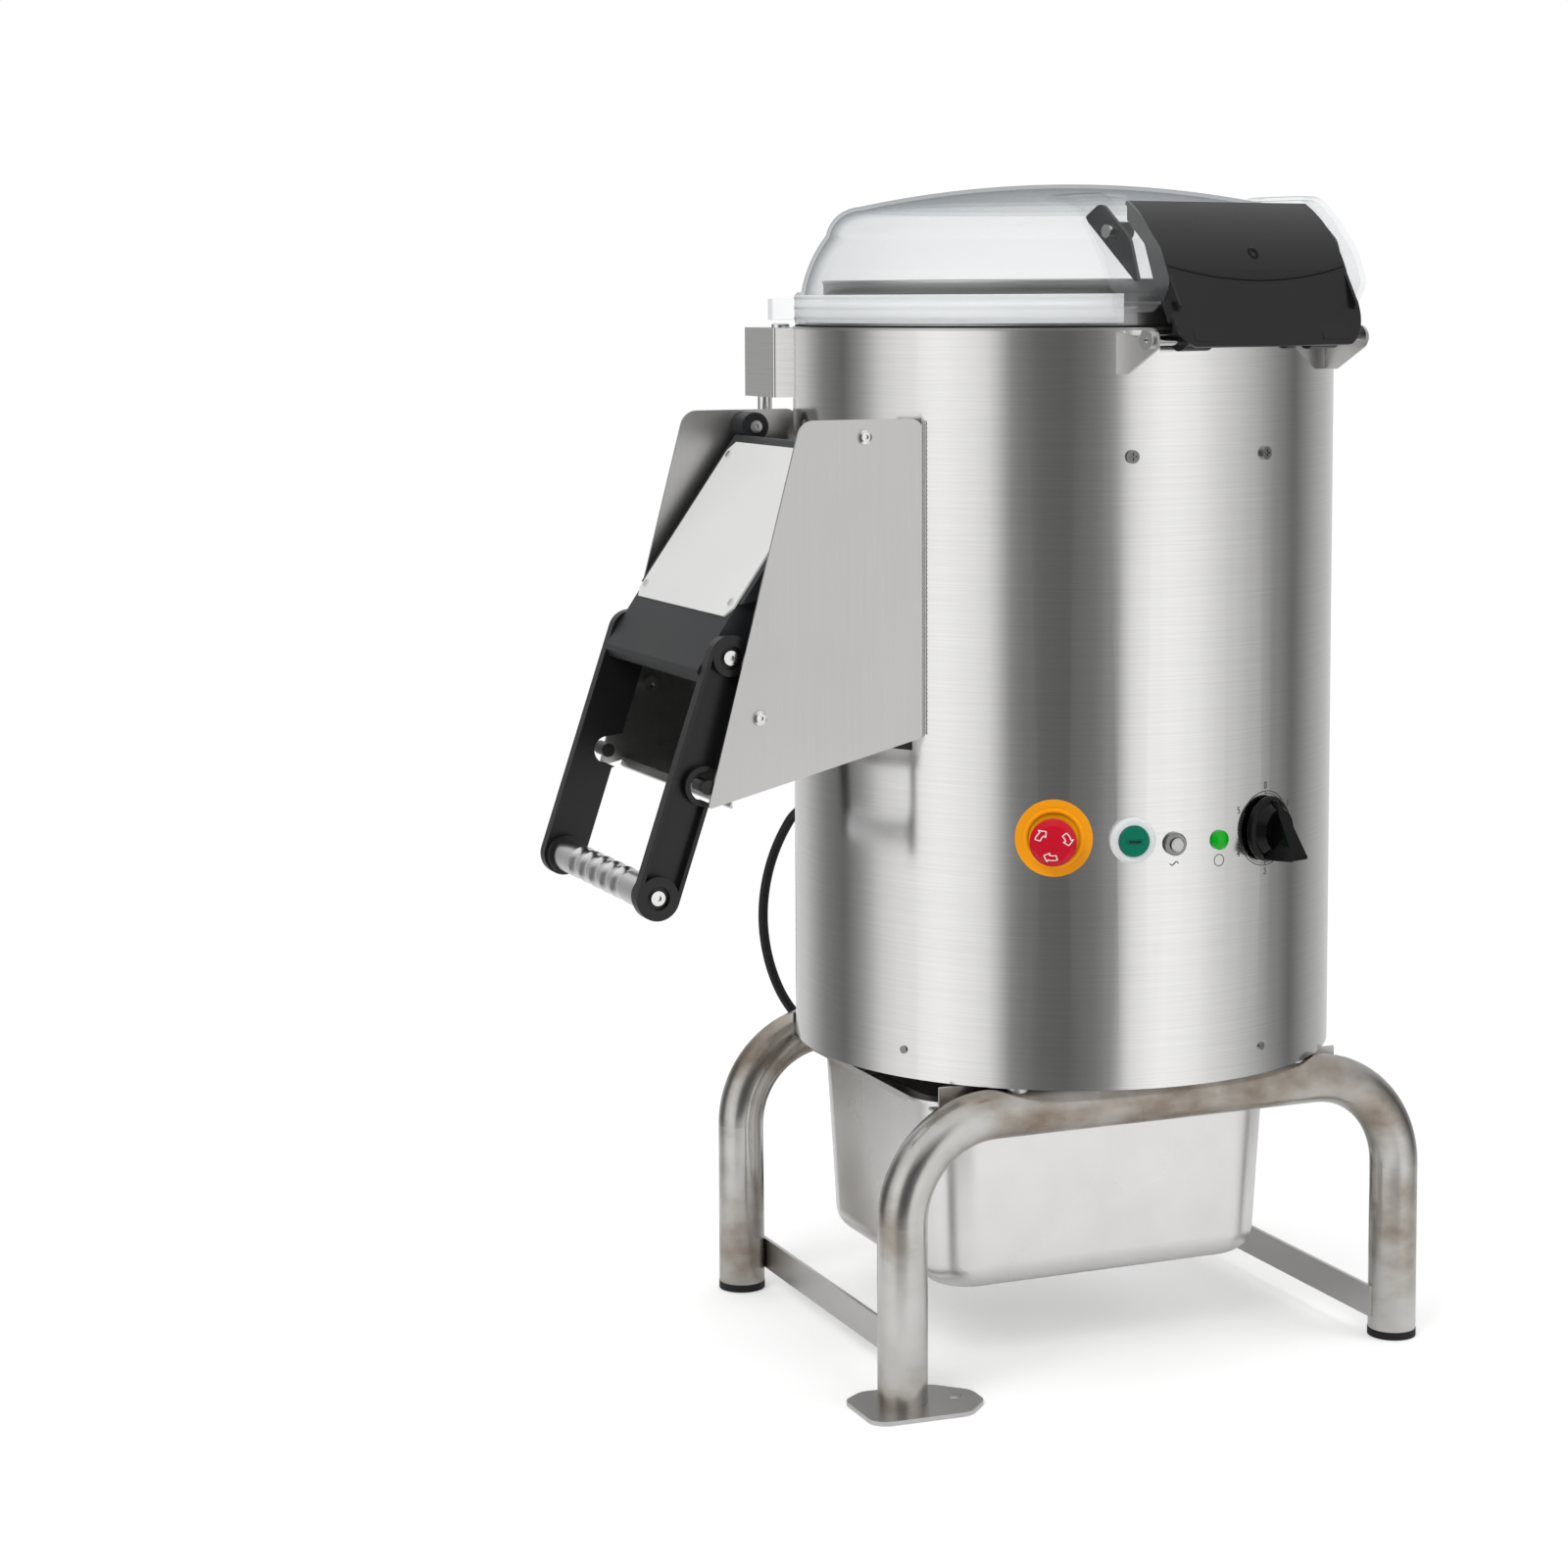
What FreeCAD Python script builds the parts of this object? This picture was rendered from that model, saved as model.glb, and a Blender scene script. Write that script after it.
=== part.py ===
"""Electric potato peeler: a drum machine on a bent tube stand, with a lidded drum, a lever chute and a pan.

Millimetres, +Z up. The model is laid out about the drum's axis with the floor at z = 0. X runs to the
right along the front tube, Y to the back, and the chute points to -X. Before export every piece is
shifted so that the origin is the centre of the bottom of the object's box, its lead left out.
"""
import FreeCAD, Part
import math
import os
from FreeCAD import Vector

# Stand: two bent tubes, joined low down by flat bars
LEG_X = 215.6
LEG_Y = 162.4
TUBE_R = 19.0
TUBE_WALL = 2.0
BEND_R = 76.0
STAND_TOP = 235.0
BAR_T = 3.0
BAR_Z = 16.0
BAR_HEIGHT = 25.0
BAR_SEAT = 1.0
FOOT_PLATE_T = 3.0
FOOT_HOLE_R = 5.5
FOOT_HOLE = (41.0, -4.0)
FOOT_OUTLINE = ((-39, 20), (-39, -37), (38, -41), (59, -20), (59, 4), (36, 27), (-20, 33))
FOOT_CORNERS = (12, 14, 14, 14, 14, 14, 14)
CAP_T = 6.0
CAP_LIP = 0.3
CAP_PLUG = 12.0

# Body: outer casing, base plate, drum and the rim on top
CASE_R = 215.0
CASE_WALL = 1.5
CASE_BOTTOM = 236.0
CASE_TOP = 805.0
BASE_T = 2.0
SHEET_GAP = 0.2
SPACER_R = 10.0
SPACER_X = 0.56 * CASE_R
DRUM_R = CASE_R - 19.0
DRUM_WALL = 1.5
LINING_T = 5.0
DRUM_FLOOR = 455.0
DRUM_FLOOR_T = 3.0
LINING_TOP = 775.0
RIM_T = 2.0
RIM_OUT = CASE_R - 0.2
COLLAR_R = CASE_R - 10.0
COLLAR_WALL = 2.0
COLLAR_TOP = 826.0
COLLAR_BEAD = 1.8
GASKET_IN = CASE_R - 6.4
GASKET_OUT = CASE_R - 2.0
GASKET_T = 1.7

# Lid: clear dome with a skirt, two cheeks and a tab, and the black hinge cover
LID_SEAT = 809.0
SKIRT_R = CASE_R - 2.0
SKIRT_WALL = 3.0
SHOULDER_Z = 834.0
DOME_BASE_R = SKIRT_R - 5.0
DOME_WALL = 3.0
DOME_SIDE = (SKIRT_R - 25.0, 879.0)
DOME_EDGE = (SKIRT_R - 50.0, 901.0)
DOME_TOP = 918.0
HINGE_AZ = -76.0
PIVOT_S = CASE_R + 5.0
PIVOT_Z = 798.0
PIN_R = 4.0
PIN_FIT = 0.06
BRACKET_T0 = 107.0
BRACKET_T = 2.5
CHEEK_IN = 94.0
CHEEK_OUT = 111.0
CHEEK_WALL = 3.0
CHEEK_SCREW = (PIVOT_S - 42.0, 877.5)
WEB_T = 3.0
WEB_OUTLINE = ((-30, 10.5), (-12, 21.5), (19, -5.5), (30, -41))
WEB_CORNERS = (2, 8, 14, 2)
CHEEK_OUTLINE = ((-36, 20), (-130, 60), (-128, 92), (-108, 108), (-45, 108), (-26, 92), (-4, 66), (6, 41), (-1, 29),
                 (-13, 20))
CHEEK_CORNERS = (2, 8, 10, 20, 24, 30, 30, 12, 6, 6)
COVER_HALF = 93.0
FLAP_HALF = 98.0
COVER_WALL = 3.0
COVER_TOP = (PIVOT_S - 43.0, 900.0)
COVER_MID = (PIVOT_S - 15.0, 876.0)
COVER_STEP = (PIVOT_S + 1.0, 849.0)
FLAP_END = (PIVOT_S + 19.5, 793.0)
FLAP_TOP = 826.0
FLAP_CORNER = 30.0
HUB_R = 8.5
HUB_T0 = 52.0
HUB_T1 = 80.0
TAB_AZ = 148.0
TAB_OUT = SKIRT_R + 23.0
TAB_HALF = 17.0
TAB_Z0 = 812.0
TAB_Z1 = 829.0
BUTTON_R = 6.0
BUTTON_H = 3.0

# Chute: two side plates and a floor welded to the casing, a wedge door and a lever
PLATE_Y = 119.5
PLATE_T = 2.0
PLATE_ROOT = -CASE_R + 37.5
PLATE_HIGH_X = -CASE_R - 62.5
PLATE_LOW_X = -CASE_R - 138.0
PLATE_OUTLINE = ((PLATE_ROOT, 740.0), (PLATE_HIGH_X, 740.0), (PLATE_LOW_X, 456.0), (PLATE_ROOT, 500.0))
PLATE_CORNERS = (12.0, 14.0, 2.0, 8.0)
MOUTH_HALF = 112.0
MOUTH_BOTTOM = 489.0
MOUTH_TOP = 722.0
FLOOR_T = 2.0
FLOOR_FRONT = 20.0
CHUTE_SCREW = (-CASE_R - 96.7, 521.7)
STUD_L = 7.0
DOOR_X = -CASE_R - 11.4
DOOR_Z = 727.0
DOOR_LUG_R = 11.5
LUG_L = 25.0
DOOR_HALF = 108.0
NOSE_HALF = 101.0
DOOR_WALL = 4.0
DOOR_FACE_TOP = (DOOR_X - 11.6, 721.0)
DOOR_KNEE = (DOOR_X - 102.0, 593.0)
DOOR_NOSE = (DOOR_X - 127.0, 556.0)
DOOR_LIP = (DOOR_X - 123.0, 547.0)
DOOR_TOE = (DOOR_X + 4.4, 508.0)
DOOR_HEEL = (DOOR_X + 6.9, 716.0)
FACE_PLATE_T = 1.5
FACE_PLATE_HALF = 100.0
LEVER_X = DOOR_X - 103.6
LEVER_Z = 566.0
GRIP_X = LEVER_X - 59.0
GRIP_Z = 391.0
ARM_R = 17.0
ARM_IN = 102.0
ARM_OUT = 112.0
ARM_WEB = 3.0
ARM_RIM = 3.2
HEAD_RECESS = 3.5
HOOK_X = PLATE_LOW_X + 1.0
HOOK_Z = 472.0
HOOK_R = 11.0
STRIKER_R = 5.5
STRIKER_IN = 100.0
GRIP_HALF = 95.0
GRIP_R = 12.8
GROOVES = 5
GROOVE_PITCH = 24.0
GROOVE_DEPTH = 1.8
SCREW_R = 3.0
SCREW_FIT = 0.06

# Interlock on the back side of the chute
BOX_X0 = -CASE_R + 17.0
BOX_Y0 = 124.0
BOX_Y1 = 188.0
BOX_Z0 = 749.0
BOX_Z1 = 805.5
ROD_X = -CASE_R + 28.0
ROD_Y = 170.0
ROD_R = 6.0
ROD_Z0 = 690.0
ROD_TRAVEL = 4.0

# Controls: direction from the axis in degrees, and height
ESTOP = (-118.6, 428.0)
START = (-103.0, 426.0)
RESET = (-94.0, 421.6)
LAMP = (-83.6, 421.7)
TIMER = (-71.0, 426.0)
ESTOP_RING_R = 29.0
ESTOP_HEAD_R = 17.5
ESTOP_COLLAR = 5.0
ESTOP_HEIGHT = 28.0
ESTOP_TRAVEL = 4.0
PANEL_HOLE_R = 11.2
START_BEZEL_R = 17.5
START_R = 11.6
START_TRAVEL = 3.0
RESET_R = 5.2
RESET_TRAVEL = 2.0
KNOB_R = 25.0
KNOB_REACH = 33.0
SMALL_HOLE_R = 5.0
RESET_HOLE_R = 7.0
SIDE_FIT = 0.3

# Drive: a motor beside the bearing housing turns the disc by a belt
SHAFT_R = 12.5
BEARING_OUT = 26.0
BEARING_H = 15.0
HOUSING_R = 34.0
HOUSING_BOTTOM = 350.0
DISC_Z = 474.0
DISC_T = 6.0
DISC_R = DRUM_R - 10.0
WAVE_HEIGHT = 9.0
PULLEY_R = 80.0
PULLEY_H = 16.0
PULLEY_Z = 318.0
MOTOR_X = 128.0
MOTOR_PULLEY_R = 20.0
MOTOR_R = 60.0
MOTOR_TOP = 452.0
MOTOR_BOTTOM = 345.0
BELT_T = 5.0
BELT_H = 10.0
BELT_GAP = 0.3
DRAIN_X = -110.0
DRAIN_R = 24.0
DRAIN_WALL = 2.0
DRAIN_BOTTOM = 228.0
INLET_AZ = 70.0
INLET_Z = 700.0
INLET_R = 10.0
INLET_REACH = 30.0
INLET_NUT = 6.0
INLET_STEP = 0.5

# Waste pan on two runners between the tubes
PAN_X = -16.0
PAN_LENGTH = 325.0
PAN_WIDTH = 265.0
PAN_DEPTH = 156.0
PAN_RIM_Z = 218.0
PAN_RIM_T = 2.0
PAN_MOUTH = 10.0
PAN_TAPER = 7.0
PAN_LIP = 5.0
PAN_WALL = 1.2
PAN_CORNER = 40.0
PAN_FOOT_R = 22.0
RUNNER_X0 = -176.0
RUNNER_X1 = 171.0
RUNNER_T = 2.0
RUNNER_REACH = 17.0

# Lead: leaves a gland at the back, drops behind the stand and ends in a coil on the floor
CORD_R = 4.25
GLAND_AZ = 112.0
GLAND_Z = 395.0
GLAND_OUT = 24.0
GLAND_RUN = 55.0
CORD_ROUTE = ((-129.5, 296, 348), (-144.5, 290, 298), (-144.7, 276, 250), (-130, 262, 208), (-98, 251, 180),
              (-62, 243, 150), (-34, 238, 112), (-16, 233, 70), (6, 229.6, 34), (44, 228.9, 11.5), (84, 229.45, 4.75))
COIL_X = 110.0
COIL_Y = 285.0
COIL_TURN_R = 55.55
COIL_PITCH = 9.4
COIL_RISE = 9.2
COIL_HALF_TURNS = 4
COIL_TAIL = 40.0
PLUG_LENGTH = 62.0


def cylinder(radius, height, base=(0, 0, 0), axis=(0, 0, 1)):
    return Part.makeCylinder(radius, height, Vector(*base), Vector(*axis))


def ring(outer, inner, height, base=(0, 0, 0), axis=(0, 0, 1)):
    return cylinder(outer, height, base, axis).cut(cylinder(inner, height, base, axis))


def block(x0, x1, y0, y1, z0, z1):
    return Part.makeBox(x1 - x0, y1 - y0, z1 - z0, Vector(x0, y0, z0))


def rounded_wire(points, radii):
    """A closed outline through the points, each corner rounded by its own radius."""
    count = len(points)
    edges = []
    corners = []
    for i in range(count):
        before = points[i - 1]
        here = points[i]
        after = points[(i + 1) % count]
        radius = radii[i] if hasattr(radii, "__len__") else radii
        to_before = (before - here).normalize()
        to_after = (after - here).normalize()
        if radius <= 0:
            corners.append((here, None, here))
            continue
        half = to_before.getAngle(to_after) / 2
        set_back = radius / math.tan(half)
        middle = (to_before + to_after).normalize()
        centre = here + middle * (radius / math.sin(half))
        corners.append((here + to_before * set_back, centre - middle * radius, here + to_after * set_back))
    for i in range(count):
        start, middle, end = corners[i]
        if middle is not None:
            edges.append(Part.Arc(start, middle, end).toShape())
        following = corners[(i + 1) % count][0]
        if (following - end).Length > 1e-6:
            edges.append(Part.LineSegment(end, following).toShape())
    return Part.Wire(Part.__sortEdges__(edges))


def flat_prism(points, radii, z0, height):
    """An outline in X and Y, raised from z0."""
    wire = rounded_wire([Vector(x, y, z0) for x, y in points], radii)
    return Part.Face(wire).extrude(Vector(0, 0, height))


def side_prism(points, radii, y0, width):
    """An outline in X and Z, carried along Y from y0."""
    wire = rounded_wire([Vector(x, y0, z) for x, z in points], radii)
    return Part.Face(wire).extrude(Vector(0, width, 0))


def turned(points, arcs=()):
    """A solid turned about Z from a profile of (radius, z) points. Each (index, point) in arcs bends one side."""
    bends = dict(arcs)
    edges = []
    for i, point in enumerate(points):
        start = Vector(point[0], 0, point[1])
        following = points[(i + 1) % len(points)]
        end = Vector(following[0], 0, following[1])
        if i in bends:
            via = Vector(bends[i][0], 0, bends[i][1])
            edges.append(Part.Arc(start, via, end).toShape())
        else:
            edges.append(Part.LineSegment(start, end).toShape())
    face = Part.Face(Part.Wire(edges))
    return face.revolve(Vector(0, 0, 0), Vector(0, 0, 1), 360)


def cap_point(radius, edge, crown):
    """A point on the round cap that rises from the radius at height edge to the axis at height crown."""
    rise = crown - edge
    ball = (radius ** 2 + rise ** 2) / (2 * rise)
    half = math.asin(radius / ball) / 2
    return ball * math.sin(half), crown - ball + ball * math.cos(half)


def turned_about_y(points, x, z, y0=0.0):
    """A solid turned about the line through (x, z) along Y, from (radius, y) points."""
    shape = turned(points)
    shape.rotate(Vector(0, 0, 0), Vector(1, 0, 0), -90)
    shape.translate(Vector(x, y0, z))
    return shape


def facing(shape, azimuth, z):
    """Turn a piece that was drawn with +X outward to the azimuth, and lift it to its height."""
    shape.rotate(Vector(0, 0, 0), Vector(0, 0, 1), azimuth)
    shape.translate(Vector(0, 0, z))
    return shape


def radial_rod(radius, start, end, azimuth, z):
    return facing(cylinder(radius, end - start, (start, 0, 0), (1, 0, 0)), azimuth, z)


def hinge_side(shape):
    """Turn a piece that was drawn with +X outward at the lid's hinge to its place."""
    shape.rotate(Vector(0, 0, 0), Vector(0, 0, 1), HINGE_AZ)
    return shape


def path_wire(points, radius_of):
    """Straight runs joined by tangent arcs, and the list of the arcs' radii."""
    edges = []
    radii = []
    start = points[0]
    for i in range(1, len(points) - 1):
        back = points[i - 1] - points[i]
        ahead = points[i + 1] - points[i]
        turn = math.pi - back.getAngle(ahead)
        radius = radius_of(min(back.Length, ahead.Length), turn)
        radii.append(radius)
        set_back = radius * math.tan(turn / 2)
        back.normalize()
        ahead.normalize()
        first = points[i] + back * set_back
        last = points[i] + ahead * set_back
        middle = (back + ahead).normalize()
        centre = points[i] + middle * (radius / math.cos(turn / 2))
        edges.append(Part.LineSegment(start, first).toShape())
        edges.append(Part.Arc(first, centre - middle * radius, last).toShape())
        start = last
    edges.append(Part.LineSegment(start, points[-1]).toShape())
    return Part.Wire(edges), radii


def sweep(wire, radius):
    start = wire.Edges[0]
    origin = start.valueAt(start.FirstParameter)
    along = start.tangentAt(start.FirstParameter)
    circle = Part.Wire(Part.Circle(origin, along, radius).toShape())
    return wire.makePipeShell([circle], True, False)


def both_sides(shape):
    """The piece and its mirror image across the chute's middle plane."""
    return Part.makeCompound([shape, shape.mirror(Vector(0, 0, 0), Vector(0, 1, 0))])


def leg_frame(y, left_foot, right_foot):
    top = STAND_TOP - TUBE_R
    corners = [(-LEG_X, left_foot), (-LEG_X, top), (LEG_X, top), (LEG_X, right_foot)]
    wire, radii = path_wire([Vector(x, y, z) for x, z in corners], lambda run, turn: BEND_R)
    return sweep(wire, TUBE_R).cut(sweep(wire, TUBE_R - TUBE_WALL))


def tie_bars():
    face = LEG_X - TUBE_R + BAR_SEAT
    bars = []
    for side in (-1, 1):
        x0 = min(side * face, side * (face - BAR_T))
        bar = block(x0, x0 + BAR_T, -LEG_Y, LEG_Y, BAR_Z, BAR_Z + BAR_HEIGHT)
        for y in (-LEG_Y, LEG_Y):
            bar = bar.cut(cylinder(TUBE_R, STAND_TOP, (side * LEG_X, y, 0)))
        bars.append(bar)
    return Part.makeCompound(bars)


def foot_plates():
    plate = flat_prism(FOOT_OUTLINE, FOOT_CORNERS, 0, FOOT_PLATE_T)
    plate = plate.cut(cylinder(FOOT_HOLE_R, FOOT_PLATE_T, (FOOT_HOLE[0], FOOT_HOLE[1], 0)))
    plate.translate(Vector(-LEG_X, -LEG_Y, 0))
    other = plate.copy()
    other.rotate(Vector(0, 0, 0), Vector(0, 0, 1), 180)
    return Part.makeCompound([plate, other])


def rubber_feet():
    feet = []
    for x, y in ((LEG_X, -LEG_Y), (-LEG_X, LEG_Y)):
        foot = cylinder(TUBE_R + CAP_LIP, CAP_T, (x, y, 0))
        plug = cylinder(TUBE_R - TUBE_WALL - SHEET_GAP, CAP_PLUG, (x, y, CAP_T))
        feet.append(foot.fuse(plug).removeSplitter())
    return Part.makeCompound(feet)


def pan_runners():
    """Two angle rails welded inside the upper tubes, which carry the pan's rim."""
    seat = PAN_RIM_Z - PAN_RIM_T
    face = LEG_Y - TUBE_R
    web = block(RUNNER_X0, RUNNER_X1, -face, -face + RUNNER_T, seat - RUNNER_T, STAND_TOP)
    flange = block(RUNNER_X0, RUNNER_X1, -face, -face + RUNNER_REACH + RUNNER_T, seat - RUNNER_T, seat)
    return both_sides(web.fuse(flange).removeSplitter())


def body_spacers():
    pads = []
    for x in (-SPACER_X, SPACER_X):
        for y in (-LEG_Y, LEG_Y):
            pad = cylinder(SPACER_R, CASE_BOTTOM - STAND_TOP + TUBE_R, (x, y, STAND_TOP - TUBE_R))
            tube = cylinder(TUBE_R, 2 * LEG_X, (-LEG_X, y, STAND_TOP - TUBE_R), (1, 0, 0))
            pads.append(pad.cut(tube))
    return Part.makeCompound(pads)


def panel_holes():
    """Every hole through the casing, as rods to cut with."""
    reach = (CASE_R - 6, CASE_R + 6)
    rods = [radial_rod(PANEL_HOLE_R, reach[0], reach[1], *ESTOP), radial_rod(PANEL_HOLE_R, reach[0], reach[1], *START)]
    rods.append(radial_rod(RESET_HOLE_R, reach[0], reach[1], *RESET))
    for place in (LAMP, TIMER):
        rods.append(radial_rod(SMALL_HOLE_R, reach[0], reach[1], *place))
    rods.append(radial_rod(INLET_R + SHEET_GAP, reach[0], reach[1], INLET_AZ, INLET_Z))
    rods.append(radial_rod(PANEL_HOLE_R, reach[0], reach[1], GLAND_AZ, GLAND_Z))
    return rods


def chute_mouth(z0, z1):
    return block(-CASE_R - 5, -CASE_R / 3, -MOUTH_HALF, MOUTH_HALF, z0, z1)


def body_shell():
    shell = ring(CASE_R, CASE_R - CASE_WALL, CASE_TOP - CASE_BOTTOM, (0, 0, CASE_BOTTOM))
    shell = shell.cut(chute_mouth(MOUTH_BOTTOM, MOUTH_TOP))
    for rod in panel_holes():
        shell = shell.cut(rod)
    return shell


def base_plate():
    plate = cylinder(CASE_R - CASE_WALL - SHEET_GAP, BASE_T, (0, 0, CASE_BOTTOM))
    return plate.cut(cylinder(DRAIN_R + SHEET_GAP, BASE_T, (DRAIN_X, 0, CASE_BOTTOM)))


def top_rim_ring():
    inside = DRUM_R - DRUM_WALL
    flange_top = CASE_TOP + RIM_T
    points = ((inside, CASE_TOP), (RIM_OUT, CASE_TOP), (RIM_OUT, flange_top), (COLLAR_R, flange_top),
              (COLLAR_R, COLLAR_TOP - 2 * COLLAR_BEAD), (COLLAR_R + COLLAR_BEAD, COLLAR_TOP - COLLAR_BEAD),
              (COLLAR_R, COLLAR_TOP), (COLLAR_R - COLLAR_WALL, COLLAR_TOP), (COLLAR_R - COLLAR_WALL, flange_top),
              (inside, flange_top))
    return turned(points)


def lid_gasket():
    return ring(GASKET_OUT, GASKET_IN, GASKET_T - SIDE_FIT, (0, 0, CASE_TOP + RIM_T))


def drum_wall():
    wall = ring(DRUM_R, DRUM_R - DRUM_WALL, CASE_TOP - DRUM_FLOOR, (0, 0, DRUM_FLOOR))
    wall = wall.cut(chute_mouth(MOUTH_BOTTOM - 4, MOUTH_TOP + 4))
    return wall.cut(radial_rod(INLET_R + SHEET_GAP, DRUM_R - 6, DRUM_R + 6, INLET_AZ, INLET_Z))


def drum_lining():
    outside = DRUM_R - DRUM_WALL
    inside = outside - LINING_T
    bottom = DISC_Z + DISC_T + 6
    points = ((inside, bottom), (outside, bottom), (outside, LINING_TOP), (outside - 2, LINING_TOP), (inside, LINING_TOP - 6))
    lining = turned(points)
    lining = lining.cut(chute_mouth(MOUTH_BOTTOM - 6, MOUTH_TOP + 6))
    return lining.cut(radial_rod(INLET_R + 2, inside - 3, outside + 1, INLET_AZ, INLET_Z))


def drum_floor():
    """The fixed floor under the disc, with its drain spout down to the pan."""
    floor = cylinder(DRUM_R, DRUM_FLOOR_T, (0, 0, DRUM_FLOOR - DRUM_FLOOR_T))
    spout = cylinder(DRAIN_R, DRUM_FLOOR - DRAIN_BOTTOM, (DRAIN_X, 0, DRAIN_BOTTOM))
    bore = cylinder(DRAIN_R - DRAIN_WALL, DRUM_FLOOR - DRAIN_BOTTOM, (DRAIN_X, 0, DRAIN_BOTTOM))
    return floor.fuse(spout).cut(bore).cut(cylinder(HOUSING_R - 8, DRUM_FLOOR_T, (0, 0, DRUM_FLOOR - DRUM_FLOOR_T)))


def bearing_housing():
    top = DRUM_FLOOR - DRUM_FLOOR_T
    flange = cylinder(HOUSING_R + 22, 8, (0, 0, top - 8))
    tube = cylinder(HOUSING_R, top - HOUSING_BOTTOM, (0, 0, HOUSING_BOTTOM))
    housing = flange.fuse(tube).cut(cylinder(SHAFT_R + 3, 400, (0, 0, HOUSING_BOTTOM - 5)))
    for z in (HOUSING_BOTTOM, top - BEARING_H):
        housing = housing.cut(cylinder(BEARING_OUT, BEARING_H, (0, 0, z)))
    for i in range(4):
        angle = math.radians(45 + 90 * i)
        spot = ((HOUSING_R + 13) * math.cos(angle), (HOUSING_R + 13) * math.sin(angle), top - 8)
        housing = housing.cut(cylinder(4.2, 8, spot))
    return housing.removeSplitter()


def shaft_bearings():
    """Two sealed ball bearings in the housing, drawn as rings with a seal groove."""
    top = DRUM_FLOOR - DRUM_FLOOR_T
    inner = SHAFT_R + SCREW_FIT
    bearings = []
    for z in (HOUSING_BOTTOM, top - BEARING_H):
        points = ((inner, z), (inner + 5, z), (inner + 5.6, z + 0.6), (BEARING_OUT - 5, z + 0.6), (BEARING_OUT - 4.4, z),
                  (BEARING_OUT, z), (BEARING_OUT, z + BEARING_H), (BEARING_OUT - 4.4, z + BEARING_H),
                  (BEARING_OUT - 5, z + BEARING_H - 0.6), (inner + 5.6, z + BEARING_H - 0.6),
                  (inner + 5, z + BEARING_H), (inner, z + BEARING_H))
        bearings.append(turned(points))
    return Part.makeCompound(bearings)


def shaft_seal():
    """Lip seal in the drum floor around the shaft."""
    inner = SHAFT_R + SCREW_FIT
    z = DRUM_FLOOR - DRUM_FLOOR_T
    return turned(((inner, z), (HOUSING_R - 8, z), (HOUSING_R - 8, z + 5), (inner + 4, z + 5), (inner, z + 3)))


def disc_shaft():
    """Stepped shaft: pulley seat below, bearing seat, and a hub that the disc sits on."""
    hub = SHAFT_R + 18
    points = ((0, PULLEY_Z - 6), (SHAFT_R - 2, PULLEY_Z - 6), (SHAFT_R - 2, HOUSING_BOTTOM - 6), (SHAFT_R, HOUSING_BOTTOM - 6),
              (SHAFT_R, DISC_Z - 8), (hub, DISC_Z - 8), (hub, DISC_Z), (SHAFT_R - 3, DISC_Z),
              (SHAFT_R - 3, DISC_Z + DISC_T + 14), (0, DISC_Z + DISC_T + 17))
    return turned(points)


def disc_pulley():
    """Vee pulley with a web, four round windows and a hub."""
    z = PULLEY_Z
    top = z + PULLEY_H
    groove = PULLEY_R - BELT_T - BELT_GAP
    bore = SHAFT_R - 2
    web = z + PULLEY_H / 2
    points = ((bore, z - 2), (bore + 12, z - 2), (bore + 12, web - 3), (PULLEY_R - 16, web - 3), (PULLEY_R - 16, z),
              (PULLEY_R, z), (PULLEY_R, web - BELT_H / 2 - BELT_GAP - 1), (groove, web - BELT_H / 2 - BELT_GAP),
              (groove, web + BELT_H / 2 + BELT_GAP), (PULLEY_R, web + BELT_H / 2 + BELT_GAP + 1), (PULLEY_R, top),
              (PULLEY_R - 16, top), (PULLEY_R - 16, web + 3), (bore + 12, web + 3), (bore + 12, top + 2), (bore, top + 2))
    pulley = turned(points)
    for i in range(4):
        angle = math.radians(45 + 90 * i)
        window = (44 * math.cos(angle), 44 * math.sin(angle), z)
        pulley = pulley.cut(cylinder(12, PULLEY_H, window))
    return pulley


def motor_pulley():
    z = PULLEY_Z
    top = z + PULLEY_H
    web = z + PULLEY_H / 2
    edge = MOTOR_PULLEY_R + BELT_T + BELT_GAP
    points = ((0, z), (edge, z), (edge, web - BELT_H / 2 - BELT_GAP - 1), (MOTOR_PULLEY_R, web - BELT_H / 2 - BELT_GAP),
              (MOTOR_PULLEY_R, web + BELT_H / 2 + BELT_GAP), (edge, web + BELT_H / 2 + BELT_GAP + 1), (edge, top),
              (8, top), (8, MOTOR_BOTTOM - 0.5), (0, MOTOR_BOTTOM - 0.5))
    pulley = turned(points)
    pulley.translate(Vector(MOTOR_X, 0, 0))
    return pulley


def belt_outline(large, small, z, height):
    """The flat band around two round pulleys."""
    turn = math.acos((large - small) / MOTOR_X)
    c = math.cos(turn)
    s = math.sin(turn)
    a = Vector(large * c, large * s, z)
    b = Vector(MOTOR_X + small * c, small * s, z)
    c2 = Vector(MOTOR_X + small * c, -small * s, z)
    d = Vector(large * c, -large * s, z)
    edges = [Part.LineSegment(a, b).toShape(), Part.Arc(b, Vector(MOTOR_X + small, 0, z), c2).toShape(),
             Part.LineSegment(c2, d).toShape(), Part.Arc(d, Vector(-large, 0, z), a).toShape()]
    return Part.Face(Part.Wire(edges)).extrude(Vector(0, 0, height))


def drive_belt():
    z = PULLEY_Z + PULLEY_H / 2 - BELT_H / 2
    inner_large = PULLEY_R - BELT_T
    inner_small = MOTOR_PULLEY_R + BELT_GAP
    outer = belt_outline(inner_large + BELT_T, inner_small + BELT_T, z, BELT_H)
    return outer.cut(belt_outline(inner_large, inner_small, z, BELT_H))


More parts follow.
